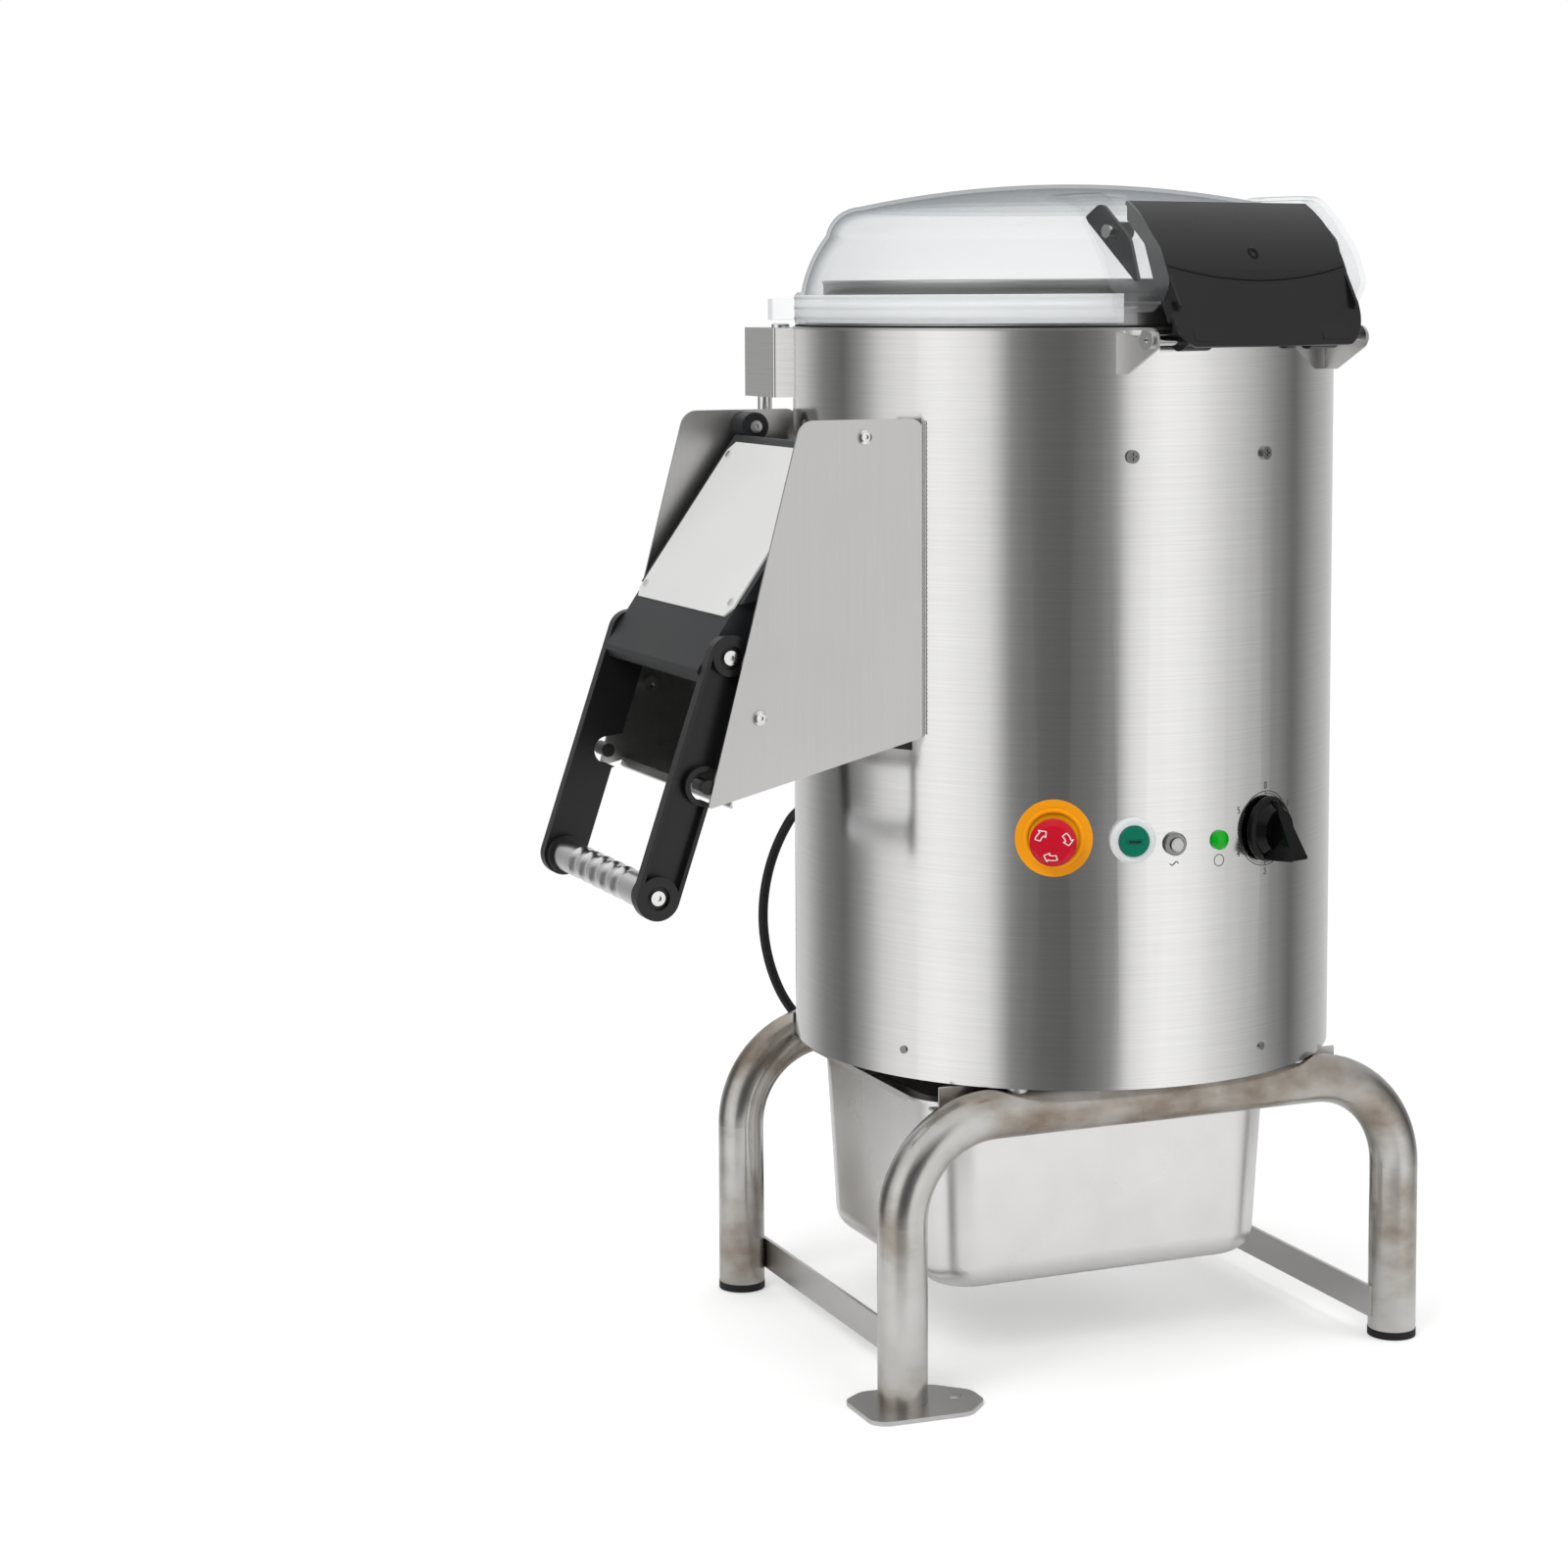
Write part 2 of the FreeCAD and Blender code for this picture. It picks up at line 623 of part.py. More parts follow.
def motor():
    """Flange motor hung under the drum floor, with cooling ribs round its body."""
    body = cylinder(MOTOR_R - 6, MOTOR_TOP - MOTOR_BOTTOM, (MOTOR_X, 0, MOTOR_BOTTOM))
    flange = cylinder(MOTOR_R, 8, (MOTOR_X, 0, MOTOR_TOP - 8))
    body = body.fuse(flange)
    ribs = 18
    for i in range(ribs):
        rib = block(MOTOR_R - 8, MOTOR_R - 1, -1.5, 1.5, MOTOR_BOTTOM + 12, MOTOR_TOP - 8)
        rib.rotate(Vector(0, 0, 0), Vector(0, 0, 1), 360.0 * i / ribs)
        rib.translate(Vector(MOTOR_X, 0, 0))
        body = body.fuse(rib)
    return body.cut(cylinder(9, 10, (MOTOR_X, 0, MOTOR_BOTTOM))).removeSplitter()


def peeling_disc():
    """The turning abrasive disc: a dished plate with three radial waves that toss the potatoes."""
    disc = turned(((SHAFT_R - 3 + SCREW_FIT, DISC_Z), (DISC_R, DISC_Z), (DISC_R, DISC_Z + DISC_T + 2),
                   (DISC_R - 8, DISC_Z + DISC_T), (SHAFT_R - 3 + SCREW_FIT, DISC_Z + DISC_T)))
    for i in range(3):
        wave = turned_wave()
        wave.rotate(Vector(0, 0, 0), Vector(0, 0, 1), 120 * i)
        disc = disc.fuse(wave)
    return disc.removeSplitter()


def turned_wave():
    """One low hump from near the hub to the disc's edge, lofted between two arched sections."""
    sections = []
    for x, half, high in ((34.0, 14.0, WAVE_HEIGHT * 0.6), (DISC_R - 12, 34.0, WAVE_HEIGHT)):
        base = DISC_Z + DISC_T - 1
        left = Vector(x, -half, base)
        right = Vector(x, half, base)
        crest = Vector(x, 0, base + high)
        sections.append(Part.Wire([Part.Arc(left, crest, right).toShape(), Part.LineSegment(right, left).toShape()]))
    return Part.makeLoft(sections, True, True)


def water_inlet():
    """Straight hose spigot through the back of the casing and drum, with its lock nut."""
    inside = DRUM_R - DRUM_WALL - 1
    length = CASE_R + INLET_REACH - inside
    tube = cylinder(INLET_R - INLET_STEP, length, (inside, 0, 0), (1, 0, 0))
    nut = cylinder(INLET_R + 6, INLET_NUT, (CASE_R, 0, 0), (1, 0, 0))
    spigot = cylinder(INLET_R, INLET_REACH - INLET_NUT, (CASE_R + INLET_NUT, 0, 0), (1, 0, 0))
    tube = tube.fuse(spigot)
    bore = cylinder(INLET_R - 2.5, length, (inside, 0, 0), (1, 0, 0))
    return facing(tube.fuse(nut).cut(bore).removeSplitter(), INLET_AZ, INLET_Z)


def chute_plate():
    plate = side_prism(PLATE_OUTLINE, PLATE_CORNERS, -PLATE_Y - PLATE_T, PLATE_T)
    for x, z in ((DOOR_X, DOOR_Z), CHUTE_SCREW):
        plate = plate.cut(cylinder(SCREW_R, PLATE_T, (x, -PLATE_Y - PLATE_T, z), (0, 1, 0)))
    return plate.cut(cylinder(CASE_R, CASE_TOP))


def chute_floor():
    """Sloping sheet along the lower edges of the side plates, with a turned-down lip."""
    x0, z0 = PLATE_OUTLINE[2]
    x1, z1 = PLATE_OUTLINE[3]
    slope = (z1 - z0) / (x1 - x0)
    front = x0 + FLOOR_FRONT
    low = z0 + FLOOR_FRONT * slope
    back = x1 - 2
    high = z1 - 2 * slope
    points = ((front, low), (back, high), (back, high + FLOOR_T), (front, low + FLOOR_T), (front - 2, low - 4), (front, low - 6))
    sheet = side_prism(points, 0, -PLATE_Y, 2 * PLATE_Y)
    return sheet.cut(cylinder(CASE_R, CASE_TOP))


def chute_strikers():
    """Round pegs inside the plates that the lever's hooks close over."""
    return both_sides(cylinder(STRIKER_R, PLATE_Y - STRIKER_IN, (HOOK_X, -PLATE_Y, HOOK_Z), (0, 1, 0)))


def button_screw(x, z, face, shank, length):
    """A button-head screw along Y with its head outside, on the front side."""
    head = turned_about_y(((0, 0), (BUTTON_R * 0.55, 0.2), (BUTTON_R * 0.9, 1.4), (BUTTON_R, BUTTON_H), (0, BUTTON_H)), x, z, 0)
    socket = Part.makeCylinder(2.0, 1.8, Vector(x, 0, z), Vector(0, 1, 0))
    body = cylinder(shank, length, (x, BUTTON_H, z), (0, 1, 0))
    screw = head.cut(socket).fuse(body).removeSplitter()
    screw.translate(Vector(0, face - BUTTON_H, 0))
    return screw


def chute_screws():
    outer = -PLATE_Y - PLATE_T
    pin = button_screw(DOOR_X, DOOR_Z, outer, SCREW_R, PLATE_T + 16)
    x, z = CHUTE_SCREW
    low = button_screw(x, z, outer, SCREW_R, PLATE_T)
    end = -PLATE_Y + STUD_L
    stud = cylinder(3.5, STUD_L, (x, -PLATE_Y, z), (0, 1, 0)).fuse(cylinder(6.5, 3.0, (x, end, z), (0, 1, 0)))
    stud = stud.cut(cylinder(2.5, 2.0, (x, end + 1, z), (0, 1, 0)))
    return Part.makeCompound([both_sides(pin), both_sides(low.fuse(stud).removeSplitter())])


def door_outline():
    return (DOOR_FACE_TOP, DOOR_KNEE, DOOR_NOSE, DOOR_LIP, DOOR_TOE, DOOR_HEEL)


def door_shell():
    """Moulded wedge door: full width above the knee, a narrower nose below, and open underneath."""
    wide = side_prism(door_outline(), (3, 0, 4, 3, 4, 3), -DOOR_HALF, 2 * DOOR_HALF)
    spare = (DOOR_HALF - NOSE_HALF)
    step = ((DOOR_KNEE[0] - 40, DOOR_KNEE[1] + 3), (LEVER_X + 26, LEVER_Z + 42), (LEVER_X + 30, LEVER_Z - 120),
            (DOOR_KNEE[0] - 60, LEVER_Z - 120))
    for side in (-1, 1):
        y0 = NOSE_HALF if side > 0 else -DOOR_HALF
        wide = wide.cut(side_prism(step, 0, y0, spare))
    cavity = ((DOOR_FACE_TOP[0] + 3, DOOR_FACE_TOP[1] - 12), (DOOR_KNEE[0] + 6, DOOR_KNEE[1] - 2), (DOOR_NOSE[0] + 9, DOOR_NOSE[1] + 2),
              (DOOR_LIP[0] + 6, DOOR_LIP[1] - 20), (DOOR_TOE[0] - 6, DOOR_TOE[1] - 20), (DOOR_HEEL[0] - 5, DOOR_HEEL[1] - 12))
    bay = (2 * NOSE_HALF - 4 * DOOR_WALL) / 3
    for i in range(3):
        y0 = -NOSE_HALF + DOOR_WALL + i * (bay + DOOR_WALL)
        wide = wide.cut(side_prism(cavity, 0, y0, bay))
    lug = cylinder(DOOR_LUG_R, LUG_L, (DOOR_X, -PLATE_Y + SIDE_FIT, DOOR_Z), (0, 1, 0))
    boss = cylinder(ARM_R - 3, 2.0, (LEVER_X, -ARM_IN + SIDE_FIT, LEVER_Z), (0, 1, 0))
    door = wide
    for piece in (lug, boss):
        door = door.fuse(piece)
        door = door.fuse(piece.mirror(Vector(0, 0, 0), Vector(0, 1, 0)))
    for side in (-1, 1):
        door = door.cut(cylinder(SCREW_R + SCREW_FIT, 17, (DOOR_X, side * (PLATE_Y + 1), DOOR_Z), (0, -side, 0)))
        door = door.cut(cylinder(PIN_R, 18, (LEVER_X, side * (NOSE_HALF + 5), LEVER_Z), (0, -side, 0)))
    return door.removeSplitter()


def face_line():
    """Unit vectors down the door's face and out of it."""
    down = Vector(DOOR_KNEE[0] - DOOR_FACE_TOP[0], 0, DOOR_KNEE[1] - DOOR_FACE_TOP[1])
    length = down.Length
    down.normalize()
    return down, Vector(down.z, 0, -down.x), length


def door_face_plate():
    """Light sheet screwed on the door's sloping face, with chamfered corners."""
    down, out, length = face_line()
    start = Vector(DOOR_FACE_TOP[0], 0, DOOR_FACE_TOP[1]) + down * 8
    end = Vector(DOOR_FACE_TOP[0], 0, DOOR_FACE_TOP[1]) + down * (length - 2)
    cut = 8
    spots = ((start + down * cut, -FACE_PLATE_HALF), (start, -FACE_PLATE_HALF + cut), (start, FACE_PLATE_HALF - cut),
             (start + down * cut, FACE_PLATE_HALF), (end - down * cut, FACE_PLATE_HALF), (end, FACE_PLATE_HALF - cut),
             (end, -FACE_PLATE_HALF + cut), (end - down * cut, -FACE_PLATE_HALF))
    points = [spot + Vector(0, y, 0) for spot, y in spots]
    face = Part.Face(Part.makePolygon(points + [points[0]]))
    return face.extrude(out * FACE_PLATE_T)


def door_screws():
    """Four small screws in the face plate and the two lever pivots, all held by the door."""
    down, out, length = face_line()
    screws = []
    for along in (20.0, length - 14.0):
        for side in (-1, 1):
            spot = Vector(DOOR_FACE_TOP[0], side * (FACE_PLATE_HALF - 9), DOOR_FACE_TOP[1]) + down * along + out * FACE_PLATE_T
            screws.append(Part.makeCylinder(3.0, 1.4, spot, out))
    pivot_head = -ARM_OUT + HEAD_RECESS
    pin = cylinder(PIN_R, -NOSE_HALF + 12 - pivot_head, (LEVER_X, pivot_head, LEVER_Z), (0, 1, 0))
    head = cylinder(BUTTON_R - 0.5, BUTTON_H, (LEVER_X, pivot_head - BUTTON_H, LEVER_Z), (0, 1, 0))
    socket = cylinder(2.5, 2.0, (LEVER_X, pivot_head - BUTTON_H, LEVER_Z), (0, 1, 0))
    pivot = pin.fuse(head).cut(socket).removeSplitter()
    screws.append(pivot)
    end = -PLATE_Y + SIDE_FIT + LUG_L
    inner = cylinder(5.0, 2.6, (DOOR_X, end, DOOR_Z), (0, 1, 0)).cut(cylinder(2.0, 1.6, (DOOR_X, end + 1.0, DOOR_Z), (0, 1, 0)))
    screws.append(inner)
    screws.append(inner.mirror(Vector(0, 0, 0), Vector(0, 1, 0)))
    screws.append(pivot.mirror(Vector(0, 0, 0), Vector(0, 1, 0)))
    return Part.makeCompound(screws)


def lever_frame():
    """Unit vector from the pivot to the grip, the normal to it, and the distance."""
    along = Vector(GRIP_X - LEVER_X, 0, GRIP_Z - LEVER_Z)
    length = along.Length
    along.normalize()
    return along, Vector(-along.z, 0, along.x), length


def capsule(radius, y0, width):
    """The arm's long round-ended outline, carried along Y."""
    along, across, length = lever_frame()
    pivot = Vector(LEVER_X, y0, LEVER_Z)
    grip = Vector(GRIP_X, y0, GRIP_Z)
    a = pivot + across * radius
    b = grip + across * radius
    c = grip - across * radius
    d = pivot - across * radius
    edges = [Part.LineSegment(a, b).toShape(), Part.Arc(b, grip + along * radius, c).toShape(),
             Part.LineSegment(c, d).toShape(), Part.Arc(d, pivot - along * radius, a).toShape()]
    return Part.Face(Part.Wire(edges)).extrude(Vector(0, width, 0))


def hook_notch(grow):
    """The open C round the striker: a round seat with a wide mouth towards the casing."""
    r = HOOK_R + grow
    seat = cylinder(r, 60, (HOOK_X, -ARM_OUT - 5, HOOK_Z), (0, 1, 0))
    mouth = ((HOOK_X, HOOK_Z + r), (HOOK_X + 30, HOOK_Z + r + 4), (HOOK_X + 30, HOOK_Z - r - 14), (HOOK_X, HOOK_Z - r))
    return seat.fuse(side_prism(mouth, 0, -ARM_OUT - 5, 60))


def lever_arm():
    """Front arm: a web with a raised rim round its pocket, hubs at both ends and the hook's wall."""
    depth = ARM_OUT - ARM_IN
    arm = capsule(ARM_R, -ARM_OUT, depth)
    pocket = capsule(ARM_R - ARM_RIM, -ARM_OUT, depth - ARM_WEB)
    hubs = cylinder(ARM_R - 3, depth, (LEVER_X, -ARM_OUT, LEVER_Z), (0, 1, 0))
    hubs = hubs.fuse(cylinder(ARM_R - 1, depth, (GRIP_X, -ARM_OUT, GRIP_Z), (0, 1, 0)))
    hook = cylinder(HOOK_R + 4, depth, (HOOK_X, -ARM_OUT, HOOK_Z), (0, 1, 0))
    collar = cylinder(GRIP_R + 2.5, ARM_IN - GRIP_HALF, (GRIP_X, -ARM_IN, GRIP_Z), (0, 1, 0))
    arm = arm.cut(pocket).fuse(hubs).fuse(hook).fuse(collar)
    arm = arm.cut(hook_notch(0))
    arm = arm.cut(cylinder(PIN_R + PIN_FIT, depth, (LEVER_X, -ARM_OUT, LEVER_Z), (0, 1, 0)))
    arm = arm.cut(cylinder(BUTTON_R + 3, HEAD_RECESS, (LEVER_X, -ARM_OUT, LEVER_Z), (0, 1, 0)))
    arm = arm.cut(cylinder(PIN_R, ARM_OUT, (GRIP_X, -ARM_OUT, GRIP_Z), (0, 1, 0)))
    arm = arm.cut(cylinder(BUTTON_R + 3, 3.0, (GRIP_X, -ARM_OUT, GRIP_Z), (0, 1, 0)))
    return arm.removeSplitter()


def grip_tube():
    """Turned aluminium grip with rounded finger grooves."""
    half = GRIP_HALF
    span = GROOVES * GROOVE_PITCH / 2
    points = [(PIN_R, -half), (GRIP_R, -half), (GRIP_R, -span)]
    arcs = []
    for i in range(GROOVES):
        y = -span + i * GROOVE_PITCH
        arcs.append((len(points) - 1, (GRIP_R - GROOVE_DEPTH, y + GROOVE_PITCH * 0.4)))
        points.append((GRIP_R, y + GROOVE_PITCH * 0.8))
        points.append((GRIP_R, y + GROOVE_PITCH))
    points += [(GRIP_R, half), (PIN_R, half)]
    grip = turned(points, arcs)
    grip.rotate(Vector(0, 0, 0), Vector(1, 0, 0), -90)
    grip.translate(Vector(GRIP_X, 0, GRIP_Z))
    return grip


def grip_bolt():
    """Through bolt of the grip, with a button head at each end."""
    seat = ARM_OUT - 3.0
    rod = cylinder(PIN_R, 2 * seat, (GRIP_X, -seat, GRIP_Z), (0, 1, 0))
    bolt = rod
    for side in (-1, 1):
        head = cylinder(BUTTON_R - 0.5, BUTTON_H, (GRIP_X, side * seat, GRIP_Z), (0, side, 0))
        socket = cylinder(2.5, 2.0, (GRIP_X, side * (seat + BUTTON_H), GRIP_Z), (0, -side, 0))
        bolt = bolt.fuse(head).cut(socket)
    return bolt.removeSplitter()


def switch_box():
    """Folded sheet box with rounded upright corners, saddled on the casing."""
    points = ((BOX_X0, BOX_Y0), (-120, BOX_Y0), (-120, BOX_Y1), (BOX_X0, BOX_Y1))
    box = flat_prism(points, (2.0, 0.0, 0.0, 2.0), BOX_Z0, BOX_Z1 - BOX_Z0)
    box = box.cut(cylinder(CASE_R, CASE_TOP + 10))
    box = box.cut(cylinder(ROD_R + SCREW_FIT, 30, (ROD_X, ROD_Y, BOX_Z0)))
    return Part.makeCompound([box, switch_box_cap()])


def switch_box_cap():
    return turned_at(((0, 0), (7.5, 0), (7.5, 2.5), (6.0, 3.6), (0, 3.6)), BOX_X0 + 12, BOX_Y0 + 14, BOX_Z1)


def turned_at(points, x, y, z):
    shape = turned(points)
    shape.translate(Vector(x, y, z))
    return shape


def interlock_rod():
    top = BOX_Z0 + 30 - ROD_TRAVEL - 2
    points = ((0, ROD_Z0), (ROD_R - 1.5, ROD_Z0), (ROD_R, ROD_Z0 + 1.5), (ROD_R, top - 1), (ROD_R - 1, top), (0, top))
    return turned_at(points, ROD_X, ROD_Y, 0)


def bracket_outline(seat):
    """Side view of a hinge bracket, from the casing out to its round nose at the pivot."""
    return ((seat, PIVOT_Z - 25), (seat + 14, PIVOT_Z - 25), (PIVOT_S + 9, PIVOT_Z - 6), (PIVOT_S + 9, PIVOT_Z + 9),
            (PIVOT_S - 7, PIVOT_Z + 9), (PIVOT_S - 10, PIVOT_Z + 2), (seat, PIVOT_Z + 6))


def hinge_brackets():
    """Welded sheet ears that carry the lid's pivots."""
    seat = math.sqrt(CASE_R ** 2 - (BRACKET_T0 + BRACKET_T) ** 2) - 2
    ears = []
    for side in (-1, 1):
        y0 = BRACKET_T0 if side > 0 else -BRACKET_T0 - BRACKET_T
        ear = side_prism(bracket_outline(seat), (2, 4, 8, 8, 3, 3, 2), y0, BRACKET_T)
        ear = ear.cut(cylinder(CASE_R, CASE_TOP + 20))
        ear = ear.cut(cylinder(PIN_R, BRACKET_T, (PIVOT_S, y0, PIVOT_Z), (0, 1, 0)))
        ears.append(hinge_side(ear))
    return Part.makeCompound(ears)


def hinge_rod():
    """One long rod from bracket to bracket, with a button head at each end."""
    outer = BRACKET_T0 + BRACKET_T
    rod = cylinder(PIN_R, 2 * outer, (PIVOT_S, -outer, PIVOT_Z), (0, 1, 0))
    for side in (-1, 1):
        head = cylinder(BUTTON_R + 1, BUTTON_H, (PIVOT_S, side * outer, PIVOT_Z), (0, side, 0))
        socket = cylinder(2.2, 2.0, (PIVOT_S, side * (outer + BUTTON_H), PIVOT_Z), (0, -side, 0))
        rod = rod.fuse(head).cut(socket)
    return hinge_side(rod.removeSplitter())


def lid_cheek():
    """Clear ear at one end of the hinge: a flat face with a deep rim round it, drawn on the -Y side."""
    outline = [(PIVOT_S + s, PIVOT_Z + z) for s, z in CHEEK_OUTLINE]
    ear = side_prism(outline, CHEEK_CORNERS, -CHEEK_OUT, CHEEK_OUT - CHEEK_IN)
    pocket = rounded_wire([Vector(x, -CHEEK_OUT + CHEEK_WALL, z) for x, z in outline], CHEEK_CORNERS)
    pocket = pocket.makeOffset2D(-CHEEK_WALL)
    ear = ear.cut(Part.Face(pocket).extrude(Vector(0, CHEEK_OUT, 0)))
    return ear.cut(cylinder(2.5, CHEEK_WALL, (CHEEK_SCREW[0], -CHEEK_OUT, CHEEK_SCREW[1]), (0, 1, 0)))


def dome_profile(inset):
    """The dome's section from its foot to its crown, moved inward by the inset, and the points of its arcs."""
    foot = (DOME_BASE_R - inset, SHOULDER_Z)
    side = (DOME_SIDE[0] - 0.92 * inset, DOME_SIDE[1] - 0.4 * inset)
    edge = (DOME_EDGE[0] - 0.2 * inset, DOME_EDGE[1] - 0.98 * inset)
    crown = (0, DOME_TOP - inset)
    low = (SKIRT_R - 11.5 - 0.93 * inset, 856.0 - 0.37 * inset)
    bend = (SKIRT_R - 33.0 - 0.7 * inset, 893.5 - 0.7 * inset)
    return (foot, side, edge, crown), (low, bend, cap_point(edge[0], edge[1], crown[1]))


def lid_dome():
    """Clear lid: skirt over the collar, dome, hinge cheeks and finger tab, in one moulding."""
    skirt_in = SKIRT_R - SKIRT_WALL
    outer, bends = dome_profile(0)
    inner, hollows = dome_profile(DOME_WALL)
    below = (inner[0][0] + 0.5, SHOULDER_Z - DOME_WALL)
    points = ((skirt_in, LID_SEAT), (SKIRT_R, LID_SEAT), (SKIRT_R, SHOULDER_Z - 2), (SKIRT_R - 2, SHOULDER_Z),
              outer[0], outer[1], outer[2], outer[3], inner[3], inner[2], inner[1], inner[0], below,
              (skirt_in, SHOULDER_Z - DOME_WALL))
    arcs = ((4, bends[0]), (5, bends[1]), (6, bends[2]), (8, hollows[2]), (9, hollows[1]), (10, hollows[0]))
    dome = turned(points, arcs)
    gap = hinge_side(block(SKIRT_R - 60, SKIRT_R + 50, -CHEEK_IN, CHEEK_IN, LID_SEAT - 5, SHOULDER_Z - 1.5 * DOME_WALL))
    dome = dome.cut(gap)
    middle, rounds = dome_profile(DOME_WALL / 2)
    envelope = turned(((0, 0), (skirt_in, 0), (skirt_in, SHOULDER_Z - 1), (middle[0][0], SHOULDER_Z), middle[1], middle[2],
                       middle[3]), ((3, rounds[0]), (4, rounds[1]), (5, rounds[2])))
    ear = lid_cheek()
    for cheek in (ear, ear.mirror(Vector(0, 0, 0), Vector(0, 1, 0))):
        dome = dome.fuse(hinge_side(cheek).cut(envelope))
    tab_points = ((SKIRT_R - 2, -TAB_HALF - 4), (TAB_OUT, -TAB_HALF), (TAB_OUT, TAB_HALF), (SKIRT_R - 2, TAB_HALF + 4))
    tab = flat_prism(tab_points, (0, 8, 8, 0), TAB_Z0, TAB_Z1 - TAB_Z0)
    tab.rotate(Vector(0, 0, 0), Vector(0, 0, 1), TAB_AZ)
    dome = dome.fuse(tab)
    return dome.removeSplitter()


def cover_profile(outset):
    """The roll of the hinge cover in side view, drawn as arcs and a straight flare."""
    top = Vector(COVER_TOP[0], 0, COVER_TOP[1] + 0) + Vector(0.35, 0, 0.94) * outset
    mid = Vector(COVER_MID[0], 0, COVER_MID[1]) + Vector(0.74, 0, 0.67) * outset
    step = Vector(COVER_STEP[0], 0, COVER_STEP[1]) + Vector(0.95, 0, 0.31) * outset
    end = Vector(FLAP_END[0], 0, FLAP_END[1]) + Vector(0.95, 0, 0.31) * outset
    return top, mid, step, end


def cover_skin(half, outer, inner):
    """A curved wall between two offsets of the roll, as wide as 2 x half."""
    a, m, s, e = cover_profile(outer)
    a2, m2, s2, e2 = cover_profile(inner)
    edges = [Part.Arc(a, m, s).toShape(), Part.LineSegment(s, e).toShape(), Part.LineSegment(e, e2).toShape(),
             Part.LineSegment(e2, s2).toShape(), Part.Arc(s2, m2, a2).toShape(), Part.LineSegment(a2, a).toShape()]
    skin = Part.Face(Part.Wire(edges)).extrude(Vector(0, 2 * half, 0))
    skin.translate(Vector(0, -half, 0))
    return skin


def lid_hinge_cover():
    """Black moulding over the hinge: a rolled wall with a rounded flap, side webs and pivot hubs."""
    upper = cover_skin(COVER_HALF, 0, -COVER_WALL).common(block(0, PIVOT_S + 100, -CASE_R, CASE_R, FLAP_TOP, DOME_TOP + 50))
    lower = cover_skin(FLAP_HALF, 0, -COVER_WALL).common(block(0, PIVOT_S + 100, -CASE_R, CASE_R, PIVOT_Z - 100, FLAP_TOP))
    mask = Part.Face(rounded_wire([Vector(0, -FLAP_HALF, FLAP_END[1] - 3), Vector(0, FLAP_HALF, FLAP_END[1] - 3),
                                   Vector(0, FLAP_HALF, FLAP_TOP), Vector(0, -FLAP_HALF, FLAP_TOP)],
                                  (FLAP_CORNER, FLAP_CORNER, 1, 1))).extrude(Vector(PIVOT_S + 100, 0, 0))
    cover = upper.fuse(lower.common(mask))
    inner = COVER_TOP[0] + 1
    end = ((inner, COVER_TOP[1] - 14), (COVER_MID[0] - 8, COVER_MID[1] - 8), (PIVOT_S - 12, 838), (PIVOT_S - 2, 820),
           (PIVOT_S + 3, PIVOT_Z + 12), (FLAP_END[0] - 5, FLAP_END[1] + FLAP_CORNER), (COVER_STEP[0] - 0.5, COVER_STEP[1]),
           (COVER_MID[0] - 1, COVER_MID[1] - 1), (inner, COVER_TOP[1] - 2))
    rib = ((PIVOT_S - HUB_R + 1, PIVOT_Z + 2), (PIVOT_S + HUB_R - 2, PIVOT_Z - 5), (FLAP_END[0] - 1, FLAP_END[1] + 4),
           (COVER_STEP[0] + 6, COVER_STEP[1] - 20), (PIVOT_S - 4, COVER_STEP[1] - 24))
    for side in (-1, 1):
        cover = cover.fuse(side_prism(end, 0, COVER_HALF - 3 if side > 0 else -COVER_HALF, 3))
        start = HUB_T0 if side > 0 else -HUB_T1
        cover = cover.fuse(cylinder(HUB_R, HUB_T1 - HUB_T0, (PIVOT_S, start, PIVOT_Z), (0, 1, 0)))
        cover = cover.fuse(side_prism(rib, 0, start, HUB_T1 - HUB_T0))
        cover = cover.cut(cylinder(PIN_R + PIN_FIT, HUB_T1 - HUB_T0, (PIVOT_S, start, PIVOT_Z), (0, 1, 0)))
        web = [(CHEEK_SCREW[0] + x, CHEEK_SCREW[1] + z) for x, z in WEB_OUTLINE]
        seat = CHEEK_OUT - CHEEK_WALL
        cover = cover.fuse(side_prism(web, WEB_CORNERS, seat - WEB_T if side > 0 else -seat, WEB_T))
        stand = cylinder(7.0, seat - COVER_HALF + 1, (CHEEK_SCREW[0], side * (COVER_HALF - 1), CHEEK_SCREW[1]), (0, side, 0))
        cover = cover.fuse(stand)
    cover = cover.cut(cylinder(PIN_R + 4, 2.0, (COVER_STEP[0] - 4.3, 0, COVER_STEP[1] + 12), (0.9, 0, 0.43)))
    outer, bends = dome_profile(0)
    room = turned(((0, LID_SEAT), (SKIRT_R, LID_SEAT), (SKIRT_R, SHOULDER_Z - 2), (SKIRT_R - 2, SHOULDER_Z)) + outer,
                  ((4, bends[0]), (5, bends[1]), (6, bends[2])))
    cover = hinge_side(cover.removeSplitter()).cut(room).cut(lid_dome())
    return max(cover.Solids, key=lambda solid: solid.Volume)


def lid_cover_screws():
    """Screws that hold the cover between the cheeks."""
    screws = []
    for side in (-1, 1):
        face = CHEEK_OUT
        spot = (CHEEK_SCREW[0], side * face, CHEEK_SCREW[1])
        head = cylinder(BUTTON_R - 1, BUTTON_H, spot, (0, side, 0))
        shank = cylinder(2.5, CHEEK_WALL, spot, (0, -side, 0))
        screws.append(hinge_side(head.fuse(shank).removeSplitter()))
    return Part.makeCompound(screws)


